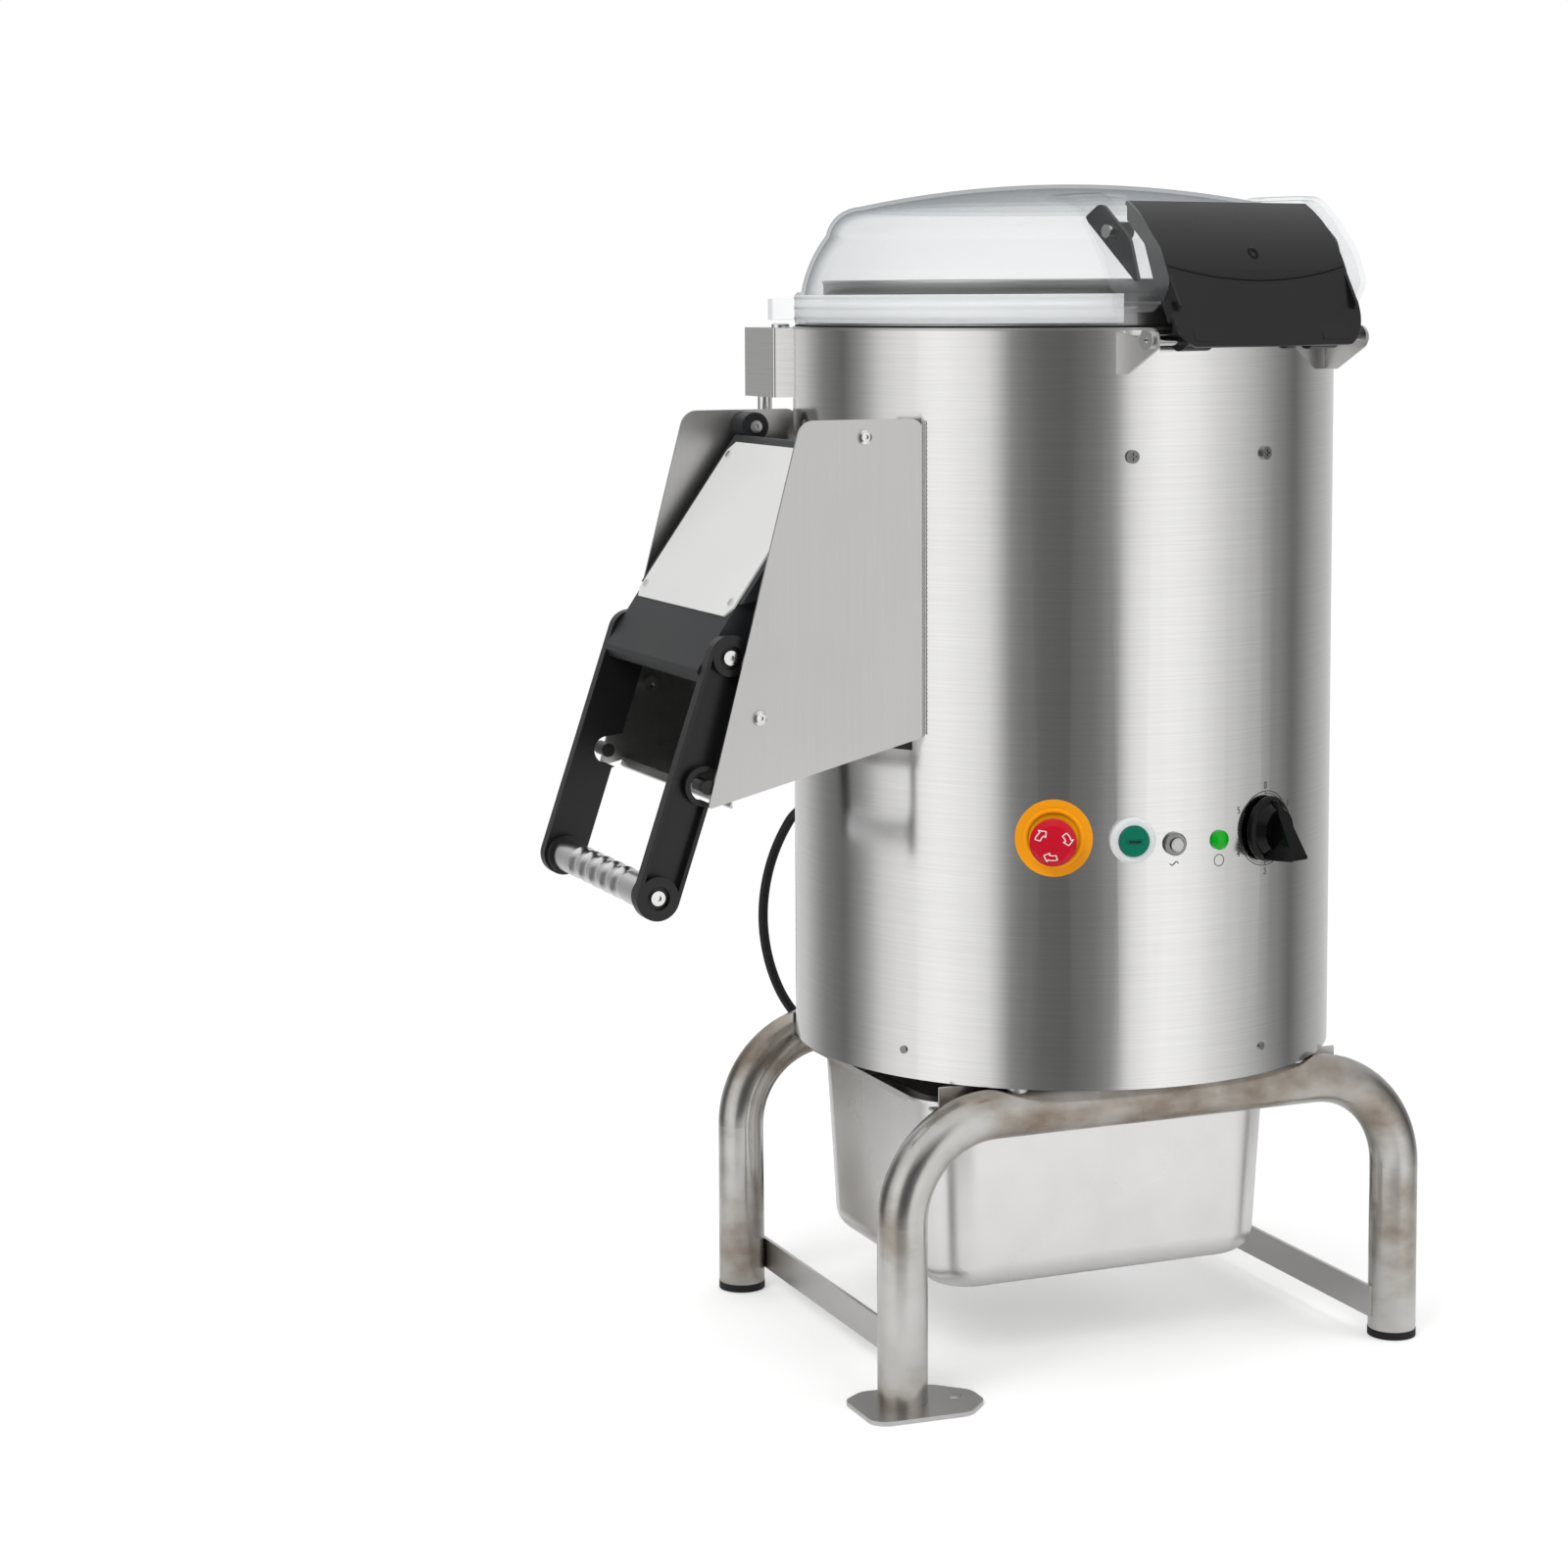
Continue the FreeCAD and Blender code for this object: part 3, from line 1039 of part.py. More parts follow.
def panel_screws():
    """Cross-head screws high on the casing and blind rivets low down."""
    fixings = []
    for azimuth, z in ((-103.3, 712.0), (-72.1, 712.0)):
        head = Part.makeCylinder(5.0, 2.6, Vector(CASE_R, 0, 0), Vector(1, 0, 0))
        cross = block(CASE_R + 1.4, CASE_R + 3, -0.6, 0.6, -3, 3).fuse(block(CASE_R + 1.4, CASE_R + 3, -3, 3, -0.6, 0.6))
        fixings.append(facing(head.cut(cross), azimuth, z))
    for azimuth in (-150.8, -71.7, 29.2, 108.3):
        fixings.append(radial_rod(3.0, CASE_R, CASE_R + 1.2, azimuth, 257.6))
    return Part.makeCompound(fixings)


def outward(points, azimuth, z, arcs=()):
    """A piece turned about a line that points out of the casing, from (radius, distance) points."""
    shape = turned(points, arcs)
    shape.rotate(Vector(0, 0, 0), Vector(0, 1, 0), 90)
    return facing(shape, azimuth, z)


def estop_plate():
    return outward(((PANEL_HOLE_R, CASE_R), (ESTOP_RING_R, CASE_R), (ESTOP_RING_R, CASE_R + 1.2), (PANEL_HOLE_R, CASE_R + 1.2)), *ESTOP)


def estop_stem():
    """Plunger through the collar, which the head turns on."""
    tip = CASE_R + ESTOP_HEIGHT - 5
    return outward(((0, CASE_R - 16), (4.0, CASE_R - 16), (4.0, tip), (0, tip)), *ESTOP)


def estop_head():
    """Mushroom head with a skirt, turned, with its bore on the plunger."""
    face = CASE_R + ESTOP_HEIGHT
    back = CASE_R + 13.5
    r = ESTOP_HEAD_R
    bore = 4.0 + SCREW_FIT
    points = ((bore, back - 3), (9.0, back - 3), (9.0, back + 1), (r - 5, back), (r, back + 3), (r, face - 5), (r - 4, face - 0.8),
              (0, face), (0, face - 4.7), (bore, face - 4.7))
    return outward(points, *ESTOP, arcs=((6, cap_point(r - 4, face - 0.8, face)),))


def contact_blocks():
    """The fixed bodies of the stop and start switches: collar, threaded neck and contact block."""
    bodies = []
    for place, collar_r, collar_h in ((ESTOP, 14.5, ESTOP_COLLAR), (START, START_BEZEL_R, 0.0)):
        neck_r = PANEL_HOLE_R - SHEET_GAP
        out = CASE_R + 1.2 if place is ESTOP else CASE_R
        neck = cylinder(neck_r, out + collar_h - CASE_R + 10, (CASE_R - 10, 0, 0), (1, 0, 0))
        block_body = block(CASE_R - 44, CASE_R - 10, -14, 14, -20, 20)
        body = neck.fuse(block_body)
        if collar_h:
            body = body.fuse(cylinder(collar_r, collar_h, (out, 0, 0), (1, 0, 0)))
            body = body.cut(cylinder(4.0 + SCREW_FIT, 60, (CASE_R - 22, 0, 0), (1, 0, 0)))
        else:
            body = body.cut(cylinder(8.6, 40, (CASE_R - 8, 0, 0), (1, 0, 0)))
        bodies.append(facing(body.removeSplitter(), *place))
    bodies.append(lamp_body())
    return Part.makeCompound(bodies)


def start_bezel():
    r = START_BEZEL_R
    inner = START_R + SIDE_FIT
    return outward(((PANEL_HOLE_R - SHEET_GAP, CASE_R), (r, CASE_R), (r, CASE_R + 4), (r - 2, CASE_R + 6), (inner, CASE_R + 6),
                    (inner, CASE_R + 2), (PANEL_HOLE_R - SHEET_GAP, CASE_R + 2)), *START)


def start_button():
    """Green cap on a stem, with a raised bar across its face."""
    seat = CASE_R + 2 + START_TRAVEL + SIDE_FIT
    face = CASE_R + 8.5
    cap = turned(((0, CASE_R - 2), (8.3, CASE_R - 2), (8.3, seat), (START_R, seat), (START_R, face - 0.8), (START_R - 0.8, face),
                  (0, face)))
    cap = cap.fuse(block(-1.2, 1.2, -6, 6, face - 0.5, face + 0.8))
    cap.rotate(Vector(0, 0, 0), Vector(0, 1, 0), 90)
    return facing(cap.removeSplitter(), *START)


def breaker_collar():
    """Body and face collar of the reset breaker, with the button's bore."""
    r = RESET_R + SIDE_FIT
    neck = RESET_HOLE_R - SHEET_GAP
    return outward(((r, CASE_R - 30), (12, CASE_R - 30), (12, CASE_R - 6), (neck, CASE_R - 6), (neck, CASE_R),
                    (8.8, CASE_R), (8.8, CASE_R + 3), (7.6, CASE_R + 4.5), (r, CASE_R + 4.5)), *RESET)


def breaker_button():
    face = CASE_R + 7.5
    return outward(((0, CASE_R - 12), (RESET_R, CASE_R - 12), (RESET_R, face - 1), (RESET_R - 1, face), (0, face)), *RESET)


def lamp_lens():
    face = CASE_R + 5
    return outward(((0, CASE_R), (7.5, CASE_R), (7.5, CASE_R + 2), (0, face)), *LAMP, arcs=((2, cap_point(7.5, CASE_R + 2, face)),))


def lamp_body():
    r = SMALL_HOLE_R - SHEET_GAP
    return outward(((0, CASE_R - 28), (7, CASE_R - 28), (7, CASE_R - 6), (r, CASE_R - 6), (r, CASE_R), (0, CASE_R)), *LAMP)


def timer_body():
    """Clockwork timer behind the panel, with its spindle bush."""
    r = SMALL_HOLE_R - SHEET_GAP
    body = block(CASE_R - 48, CASE_R - 8, -22, 22, -22, 22).fuse(cylinder(r, 8 + 3, (CASE_R - 8, 0, 0), (1, 0, 0)))
    body = body.cut(cylinder(3 + SCREW_FIT, 24, (CASE_R - 20, 0, 0), (1, 0, 0)))
    return facing(body.removeSplitter(), *TIMER)


def timer_knob():
    """Flared skirt with a pointed wing that stands highest at its flat lower end, on a spindle."""
    base = CASE_R + 3.3
    skirt = turned(((0, base), (KNOB_R, base), (KNOB_R, base + 1.5), (KNOB_R - 5, base + 4.5), (KNOB_R - 9, base + 11), (0, base + 11)),
                   ((2, (KNOB_R - 1.5, base + 2.9)),))
    side = side_prism(((-23, base + 3), (23, base + 3), (21, base + KNOB_REACH), (-22, base + 9)), (0, 1, 2, 2), -12, 24)
    plan = ((-24, 0), (-12, 5), (23, 8.5), (23, -8.5), (-12, -5))
    wing = side.common(flat_prism(plan, (1, 12, 1.5, 1.5, 12), base, KNOB_REACH + 2))
    knob = skirt.fuse(wing)
    knob = knob.fuse(cylinder(3, 16, (0, 0, base - 15)))
    knob.rotate(Vector(0, 0, 0), Vector(0, 1, 0), 90)
    return facing(knob.removeSplitter(), *TIMER)


def rectangle(length, width):
    return ((-length / 2, -width / 2), (length / 2, -width / 2), (length / 2, width / 2), (-length / 2, width / 2))


def tub(length, width, corner, taper, z0, z1, foot_radius):
    """A tapered tub, lofted between two rounded rectangles, with a rounded foot."""
    wires = []
    for z, shrink in ((z0, taper), (z1, 0.0)):
        outline = rectangle(length - 2 * shrink, width - 2 * shrink)
        wires.append(rounded_wire([Vector(x, y, z) for x, y in outline], corner))
    solid = Part.makeLoft(wires, True, True)
    foot = [edge for edge in solid.Edges if edge.BoundBox.ZMax < z0 + 0.01]
    return solid.makeFillet(foot_radius, foot)


def waste_pan():
    """Deep tapered pan with rounded corners and a flat rolled rim."""
    length = PAN_LENGTH - 2 * PAN_MOUTH
    width = PAN_WIDTH - 2 * PAN_MOUTH
    bottom = PAN_RIM_Z - PAN_DEPTH
    outside = tub(length, width, PAN_CORNER, PAN_TAPER, bottom, PAN_RIM_Z, PAN_FOOT_R)
    inside = tub(length - 2 * PAN_WALL, width - 2 * PAN_WALL, PAN_CORNER - PAN_WALL, PAN_TAPER, bottom + PAN_WALL, PAN_RIM_Z + 0.01,
                 PAN_FOOT_R - PAN_WALL)
    rim = flat_prism(rectangle(PAN_LENGTH, PAN_WIDTH), PAN_CORNER, PAN_RIM_Z - PAN_RIM_T, PAN_RIM_T)
    for side in (-1, 1):
        x0 = side * PAN_LENGTH / 2 - (PAN_RIM_T if side > 0 else 0)
        edge = PAN_WIDTH / 2 - PAN_CORNER
        rim = rim.fuse(block(x0, x0 + PAN_RIM_T, -edge, edge, PAN_RIM_Z - PAN_LIP, PAN_RIM_Z - PAN_RIM_T))
    pan = outside.fuse(rim).cut(inside)
    pan.translate(Vector(PAN_X, 0, 0))
    return pan.removeSplitter()


def cord_gland():
    """Hexagon gland with a domed nut, and a bore that the lead leaves by."""
    points = []
    for i in range(6):
        angle = math.radians(60 * i)
        points.append(Vector(CASE_R, 12 * math.cos(angle), 12 * math.sin(angle)))
    hexagon = Part.Face(Part.makePolygon(points + [points[0]])).extrude(Vector(8, 0, 0))
    neck = cylinder(PANEL_HOLE_R - SHEET_GAP, 14, (CASE_R - 14, 0, 0), (1, 0, 0))
    dome = turned(((0, CASE_R + 8), (10.5, CASE_R + 8), (10.5, CASE_R + 16), (6.2, CASE_R + GLAND_OUT), (0, CASE_R + GLAND_OUT)))
    dome.rotate(Vector(0, 0, 0), Vector(0, 1, 0), 90)
    return facing(hexagon.fuse(neck).fuse(dome).removeSplitter(), GLAND_AZ, GLAND_Z)


def gland_line(distance):
    """A point on the gland's axis, at a distance out from its face."""
    angle = math.radians(GLAND_AZ)
    r = CASE_R + GLAND_OUT + distance
    return Vector(r * math.cos(angle), r * math.sin(angle), GLAND_Z)


def cord_radius(run, turn):
    return 0.45 * run / math.tan(turn / 2)


def coil_start():
    return Vector(COIL_X, COIL_Y - COIL_TURN_R, CORD_R + 0.5)


def power_cord():
    """The free lead: straight runs joined by arcs as large as the runs allow."""
    points = [gland_line(0), gland_line(GLAND_RUN)] + [Vector(*point) for point in CORD_ROUTE] + [coil_start()]
    wire, radii = path_wire(points, cord_radius)
    lead = sweep(wire, CORD_R)
    print("lead bend radii", [round(r) for r in radii], "length", round(wire.Length))
    print("lead volume ratio", round(lead.Volume / (math.pi * CORD_R ** 2 * wire.Length), 4))
    return lead


def coil_edges():
    """Half-turn arcs that spiral in on the floor, climb once, and spiral out on top."""
    edges = []
    step = COIL_PITCH / 2
    y = Vector(0, 1, 0)
    point = coil_start()
    radius = COIL_TURN_R
    side = 1
    radii = [COIL_TURN_R - step * i for i in range(2 * COIL_HALF_TURNS // 2)]
    for radius in radii:
        centre = point + y * (side * radius)
        middle = centre + Vector(side * radius, 0, 0)
        end = point + y * (2 * side * radius)
        edges.append(Part.Arc(point, middle, end).toShape())
        point = end
        side = -side
    climb = radii[-1] - step
    chord = y * (2 * side * climb) + Vector(0, 0, COIL_RISE)
    reach = chord.Length / 2
    centre = point + chord * 0.5
    edges.append(Part.Arc(point, centre + Vector(side * reach, 0, 0), point + chord).toShape())
    point = point + chord
    side = -side
    for radius in reversed(radii):
        centre = point + y * (side * radius)
        middle = centre + Vector(side * radius, 0, 0)
        end = point + y * (2 * side * radius)
        edges.append(Part.Arc(point, middle, end).toShape())
        point = end
        side = -side
    return edges, point, side


def coil_lead_out():
    """Where the coil's top turn ends, and the way that it points."""
    edges, point, side = coil_edges()
    return point, Vector(side, 0, 0)


def cord_coil():
    edges, point, side = coil_edges()
    tail = point + Vector(side * COIL_TAIL, 0, 0)
    wire = Part.Wire(edges + [Part.LineSegment(point, tail).toShape()])
    samples = []
    for edge in edges:
        count = 24
        span = edge.LastParameter - edge.FirstParameter
        samples += [edge.valueAt(edge.FirstParameter + span * k / count) for k in range(count)]
    least = 1e9
    for i, a in enumerate(samples):
        for b in samples[i + 18:]:
            least = min(least, (a - b).Length)
    print("coil least gap to itself", round(least - 2 * CORD_R, 2), "length", round(wire.Length))
    return sweep(wire, CORD_R)


def cord_plug():
    """Mains plug with a ribbed sleeve, a round body and two pins, in line with the coil's last turn."""
    point, along = coil_lead_out()
    start = COIL_TAIL
    points = ((0, 0), (6.0, 0), (8.5, 22), (9.0, 22), (14.0, 28), (17.0, 40), (17.0, PLUG_LENGTH), (0, PLUG_LENGTH))
    plug = turned(points)
    for side in (-1, 1):
        plug = plug.fuse(cylinder(2.4, 19, (0, 9.5 * side, PLUG_LENGTH)))
    plug = plug.common(block(-13.5, 13.5, -40, 40, -5, 120))
    plug.rotate(Vector(0, 0, 0), Vector(0, 1, 0), 90 * along.x)
    plug.translate(point + along * start)
    return plug.removeSplitter()


PIECES = {
    "front_leg_tube": lambda: leg_frame(-LEG_Y, FOOT_PLATE_T, CAP_T),
    "rear_leg_tube": lambda: leg_frame(LEG_Y, CAP_T, FOOT_PLATE_T),
    "tie_bars": tie_bars,
    "foot_plates": foot_plates,
    "rubber_feet": rubber_feet,
    "pan_runners": pan_runners,
    "body_spacers": body_spacers,
    "body_shell": body_shell,
    "base_plate": base_plate,
    "top_rim_ring": top_rim_ring,
    "lid_gasket": lid_gasket,
    "drum_wall": drum_wall,
    "drum_lining": drum_lining,
    "drum_floor": drum_floor,
    "bearing_housing": bearing_housing,
    "shaft_bearings": shaft_bearings,
    "shaft_seal": shaft_seal,
    "disc_shaft": disc_shaft,
    "disc_pulley": disc_pulley,
    "motor_pulley": motor_pulley,
    "drive_belt": drive_belt,
    "motor": motor,
    "peeling_disc": peeling_disc,
    "water_inlet": water_inlet,
    "chute_plate_front": chute_plate,
    "chute_plate_rear": lambda: chute_plate().mirror(Vector(0, 0, 0), Vector(0, 1, 0)),
    "chute_floor": chute_floor,
    "chute_strikers": chute_strikers,
    "chute_screws": chute_screws,
    "door_shell": door_shell,
    "door_face_plate": door_face_plate,
    "door_screws": door_screws,
    "lever_arm_front": lever_arm,
    "lever_arm_rear": lambda: lever_arm().mirror(Vector(0, 0, 0), Vector(0, 1, 0)),
    "grip_tube": grip_tube,
    "grip_bolt": grip_bolt,
    "switch_box": switch_box,
    "interlock_rod": interlock_rod,
    "hinge_brackets": hinge_brackets,
    "hinge_rod": hinge_rod,
    "lid_dome": lid_dome,
    "lid_hinge_cover": lid_hinge_cover,
    "lid_cover_screws": lid_cover_screws,
    "panel_screws": panel_screws,
    "estop_plate": estop_plate,
    "estop_stem": estop_stem,
    "estop_head": estop_head,
    "contact_blocks": contact_blocks,
    "start_bezel": start_bezel,
    "start_button": start_button,
    "breaker_collar": breaker_collar,
    "breaker_button": breaker_button,
    "lamp_lens": lamp_lens,
    "timer_body": timer_body,
    "timer_knob": timer_knob,
    "waste_pan": waste_pan,
    "cord_gland": cord_gland,
    "power_cord": power_cord,
    "cord_coil": cord_coil,
    "cord_plug": cord_plug,
}
LEAD_PIECES = ("power_cord", "cord_coil", "cord_plug")


def build():
    """Make every piece, and find the shift that puts the origin under the middle of the object."""
    shapes = {name: make() for name, make in PIECES.items()}
    box = FreeCAD.BoundBox()
    for name, shape in shapes.items():
        if name not in LEAD_PIECES:
            box.add(shape.optimalBoundingBox(False, False))
    shift = Vector(-(box.XMin + box.XMax) / 2, -(box.YMin + box.YMax) / 2, -box.ZMin)
    for shape in shapes.values():
        shape.translate(shift)
    return shapes, shift, box


def main():
    os.makedirs("parts", exist_ok=True)
    shapes, shift, box = build()
    for name, shape in shapes.items():
        shape.exportStep("parts/" + name + ".step")
    print("pieces", len(shapes), "shift", [round(value, 3) for value in shift])
    print("size", round(box.XLength, 1), round(box.YLength, 1), round(box.ZLength, 1))


if __name__ == "__main__":
    main()
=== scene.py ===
import bpy
import math
from mathutils import Matrix, Vector


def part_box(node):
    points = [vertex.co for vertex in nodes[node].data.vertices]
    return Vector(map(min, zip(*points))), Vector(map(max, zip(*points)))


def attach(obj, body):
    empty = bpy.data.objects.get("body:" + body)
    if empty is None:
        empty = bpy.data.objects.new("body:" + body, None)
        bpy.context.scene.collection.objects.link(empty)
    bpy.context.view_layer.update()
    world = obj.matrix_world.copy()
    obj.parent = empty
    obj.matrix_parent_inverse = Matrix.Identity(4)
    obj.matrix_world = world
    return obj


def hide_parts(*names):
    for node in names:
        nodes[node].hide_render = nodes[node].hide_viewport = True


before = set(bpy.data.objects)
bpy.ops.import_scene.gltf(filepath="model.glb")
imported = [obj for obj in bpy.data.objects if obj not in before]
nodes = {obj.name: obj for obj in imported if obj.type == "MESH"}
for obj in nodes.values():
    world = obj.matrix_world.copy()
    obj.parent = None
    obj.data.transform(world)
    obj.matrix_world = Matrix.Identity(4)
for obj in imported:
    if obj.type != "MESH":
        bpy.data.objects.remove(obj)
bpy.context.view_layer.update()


# Sizes are in millimetres and bearings in degrees, as in part.py, unless a line says otherwise.
# Places are measured from the drum's axis and the floor.
MM = 0.001
CASE_R = 215.0
SKIRT_R = 213.0
HINGE_BEARING = -76.0
SKIRT_GAP = 29.0
LEAD_R = 4.25

# Controls, as (bearing, height) on the casing
ESTOP = (-118.6, 428.0)
START = (-103.0, 426.0)
RESET = (-94.0, 421.6)
LAMP = (-83.6, 421.7)
TIMER = (-71.0, 426.0)

# Camera, solved from the photo. The lens and the sensor are in the camera's own millimetres.
CAMERA_LENS = 75.14
CAMERA_SENSOR = 36.0
CAMERA_SHIFT = -0.110
CAMERA_YAW, CAMERA_PITCH, CAMERA_ROLL = 22.53, 5.57, -0.31
CAMERA_SPOT = (-1212.2, -2340.2, 834.1)

low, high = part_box("body_shell")
AXIS = Vector(((low.x + high.x) / 2, (low.y + high.y) / 2, 0.0))


def at(x, y, z):
    """A point given in millimetres from the drum's axis and the floor."""
    return AXIS + Vector((x, y, z)) * MM


camera = bpy.data.cameras.new("camera")
camera.lens = CAMERA_LENS
camera.sensor_width = CAMERA_SENSOR
camera.shift_y = CAMERA_SHIFT
camera.clip_end = 30.0
camera_piece = bpy.data.objects.new("camera", camera)
bpy.context.collection.objects.link(camera_piece)
yaw, pitch, roll = math.radians(CAMERA_YAW), math.radians(CAMERA_PITCH), math.radians(CAMERA_ROLL)
ahead = Vector((math.sin(yaw) * math.cos(pitch), math.cos(yaw) * math.cos(pitch), -math.sin(pitch)))
level = Vector((math.cos(yaw), -math.sin(yaw), 0.0))
upward = level.cross(ahead)
right = level * math.cos(roll) + upward * math.sin(roll)
up = upward * math.cos(roll) - level * math.sin(roll)
turn = Matrix((right, up, -ahead)).transposed().to_4x4()
camera_piece.matrix_world = Matrix.Translation(at(*CAMERA_SPOT)) @ turn
bpy.context.scene.camera = camera_piece
bpy.context.scene.view_settings.view_transform = "Standard"


# Shader nodes
def new_material(name):
    material = bpy.data.materials.new(name)
    material.use_nodes = True
    return material, material.node_tree, material.node_tree.nodes["Principled BSDF"]


def add(tree, kind, **values):
    node = tree.nodes.new(kind)
    for key, value in values.items():
        setattr(node, key, value)
    return node


def noise(tree, scale, stretch, detail):
    """Noise in the piece's own space, stretched along its axes."""
    place = add(tree, "ShaderNodeTexCoord")
    mapping = add(tree, "ShaderNodeMapping")
    mapping.inputs["Scale"].default_value = stretch
    texture = add(tree, "ShaderNodeTexNoise")
    texture.inputs["Scale"].default_value = scale
    texture.inputs["Detail"].default_value = detail
    tree.links.new(place.outputs["Object"], mapping.inputs["Vector"])
    tree.links.new(mapping.outputs["Vector"], texture.inputs["Vector"])
    return texture.outputs["Fac"]


def ramp(tree, source, stops):
    """A colour ramp of (position, value or colour) stops."""
    node = add(tree, "ShaderNodeValToRGB")
    elements = node.color_ramp.elements
    while len(elements) < len(stops):
        elements.new(0.5)
    for element, (position, value) in zip(elements, stops):
        element.position = position
        element.color = (value, value, value, 1) if isinstance(value, float) else (*value, 1)
    tree.links.new(source, node.inputs["Fac"])
    return node.outputs["Color"]


def bump(tree, shader, source, strength, distance=0.0004):
    """Relief on a shader, with its distance in metres."""
    node = add(tree, "ShaderNodeBump")
    node.inputs["Strength"].default_value = strength
    node.inputs["Distance"].default_value = distance
    tree.links.new(source, node.inputs["Height"])
    tree.links.new(node.outputs["Normal"], shader.inputs["Normal"])


def calculated(tree, how, first, second):
    """The result of a sum on two values."""
    node = add(tree, "ShaderNodeMath", operation=how)
    tree.links.new(first, node.inputs[0])
    tree.links.new(second, node.inputs[1])
    return node.outputs[0]


def blend(tree, factor, first, second):
    """A mix of two shaders by a fixed share or by another node's value."""
    node = add(tree, "ShaderNodeMixShader")
    if isinstance(factor, float):
        node.inputs["Fac"].default_value = factor
    else:
        tree.links.new(factor, node.inputs["Fac"])
    tree.links.new(first, node.inputs[1])
    tree.links.new(second, node.inputs[2])
    return node.outputs[0]


def both(tree, first, second):
    """Two shaders added to each other."""
    node = add(tree, "ShaderNodeAddShader")
    tree.links.new(first, node.inputs[0])
    tree.links.new(second, node.inputs[1])
    return node.outputs[0]


def glow(tree, strength):
    """Plain white light."""
    node = add(tree, "ShaderNodeEmission")
    node.inputs["Strength"].default_value = strength
    return node


# Materials
# Light let straight through the clear plastic, by how squarely it faces the eye: the grey towards the grazing edge is
# painted shade.
CLEAR_PASS_WITH_EDGE_SHADE = ((0.0, (0.992, 0.994, 0.995)), (0.7, (0.965, 0.97, 0.973)), (1.0, (0.50, 0.53, 0.55)))
CLEAR_SHINE = ((0.0, 0.04), (0.6, 0.10), (0.9, 0.30), (1.0, 0.6))
TARNISH = ((0.34, (0.26, 0.21, 0.165)), (0.45, (0.42, 0.385, 0.345)), (0.56, (0.57, 0.555, 0.53)),
           (0.8, (0.70, 0.69, 0.68)))
LEVEL_LINES = (0.3, 0.3, 30.0)
UPRIGHT_SHEET_LINES = (24.0, 0.3, 0.3)
TURNED_LINES = (0.3, 14.0, 0.3)
EVEN = (1, 1, 1)


def metal(name, tone, rough, stretch, scale=60.0, spread=0.06, relief=0.12):
    """Metal with fine lines along the axes where the stretch is small."""
    material, tree, shader = new_material(name)
    grain = noise(tree, scale, stretch, 6.0)
    cloud = noise(tree, 5.0, EVEN, 3.0)
    darker = tuple(channel * (1 - spread) for channel in tone)
    brighter = tuple(min(1.0, channel * (1 + spread)) for channel in tone)
    tree.links.new(ramp(tree, grain, ((0.3, darker), (0.7, brighter))), shader.inputs["Base Color"])
    tree.links.new(ramp(tree, cloud, ((0.3, rough - 0.04), (0.75, rough + 0.06))), shader.inputs["Roughness"])
    shader.inputs["Metallic"].default_value = 1.0
    bump(tree, shader, grain, relief)
    return material


def plastic(name, tone, rough, relief=0.08, scale=700.0, spread=0.12, shine=0.3):
    """Moulded plastic, paint or rubber with a fine grain and faint unevenness."""
    material, tree, shader = new_material(name)
    cloud = noise(tree, 9.0, EVEN, 4.0)
    darker = tuple(channel * (1 - spread) for channel in tone)
    roughness = ((0.3, max(0.03, rough - 0.05)), (0.7, rough + 0.05))
    tree.links.new(ramp(tree, cloud, ((0.3, darker), (0.7, tone))), shader.inputs["Base Color"])
    tree.links.new(ramp(tree, cloud, roughness), shader.inputs["Roughness"])
    shader.inputs["Specular IOR Level"].default_value = shine
    bump(tree, shader, noise(tree, scale, EVEN, 3.0), relief, 0.0002)
    return material


def clear(name, haze, painted_glow=0.0):
    """Clear moulded plastic: straight through where it faces the eye, shinier at its edges, and greyer there with
    painted shade.

    Haze is the share of light that it scatters. The last argument is a painted glow that the scattering part gives
    off, standing in for light that such a wall would bring from elsewhere.
    """
    material = bpy.data.materials.new(name)
    material.use_nodes = True
    tree = material.node_tree
    tree.nodes.clear()
    output = add(tree, "ShaderNodeOutputMaterial")
    layer = add(tree, "ShaderNodeLayerWeight")
    layer.inputs["Blend"].default_value = 0.5
    facing = layer.outputs["Facing"]
    through = add(tree, "ShaderNodeBsdfTransparent")
    # The grey that the wall lets through at its grazing edges is painted shade.
    tree.links.new(ramp(tree, facing, CLEAR_PASS_WITH_EDGE_SHADE), through.inputs["Color"])
    milk = add(tree, "ShaderNodeBsdfDiffuse")
    milk.inputs["Color"].default_value = (0.86, 0.88, 0.89, 1)
    shine = add(tree, "ShaderNodeBsdfGlossy")
    shine.inputs["Roughness"].default_value = 0.05
    bump(tree, shine, noise(tree, 3.0, EVEN, 2.0), 0.15, 0.004)
    # The scattering part gets a painted glow on top of the light that reaches it.
    milk_and_painted_glow = both(tree, milk.outputs[0], glow(tree, painted_glow).outputs[0])
    wall = blend(tree, haze, through.outputs[0], milk_and_painted_glow)

    # Only the faces turned outwards shine
    side = add(tree, "ShaderNodeNewGeometry")
    outer = add(tree, "ShaderNodeMath", operation="SUBTRACT")
    outer.inputs[0].default_value = 1.0
    tree.links.new(side.outputs["Backfacing"], outer.inputs[1])
    amount = calculated(tree, "MULTIPLY", outer.outputs[0], ramp(tree, facing, CLEAR_SHINE))
    tree.links.new(blend(tree, amount, wall, shine.outputs[0]), output.inputs["Surface"])
    return material


def stained(name, rough):
    """Bent tube with drawn lines and brown tarnish in patches."""
    material, tree, shader = new_material(name)
    patches = noise(tree, 11.0, (1, 1, 1.6), 7.0)
    grain = noise(tree, 40.0, (6, 6, 0.5), 4.0)
    tree.links.new(ramp(tree, patches, TARNISH), shader.inputs["Base Color"])
    tree.links.new(ramp(tree, patches, ((0.35, rough + 0.12), (0.6, rough))), shader.inputs["Roughness"])
    shader.inputs["Metallic"].default_value = 1.0
    bump(tree, shader, grain, 0.10)
    return material


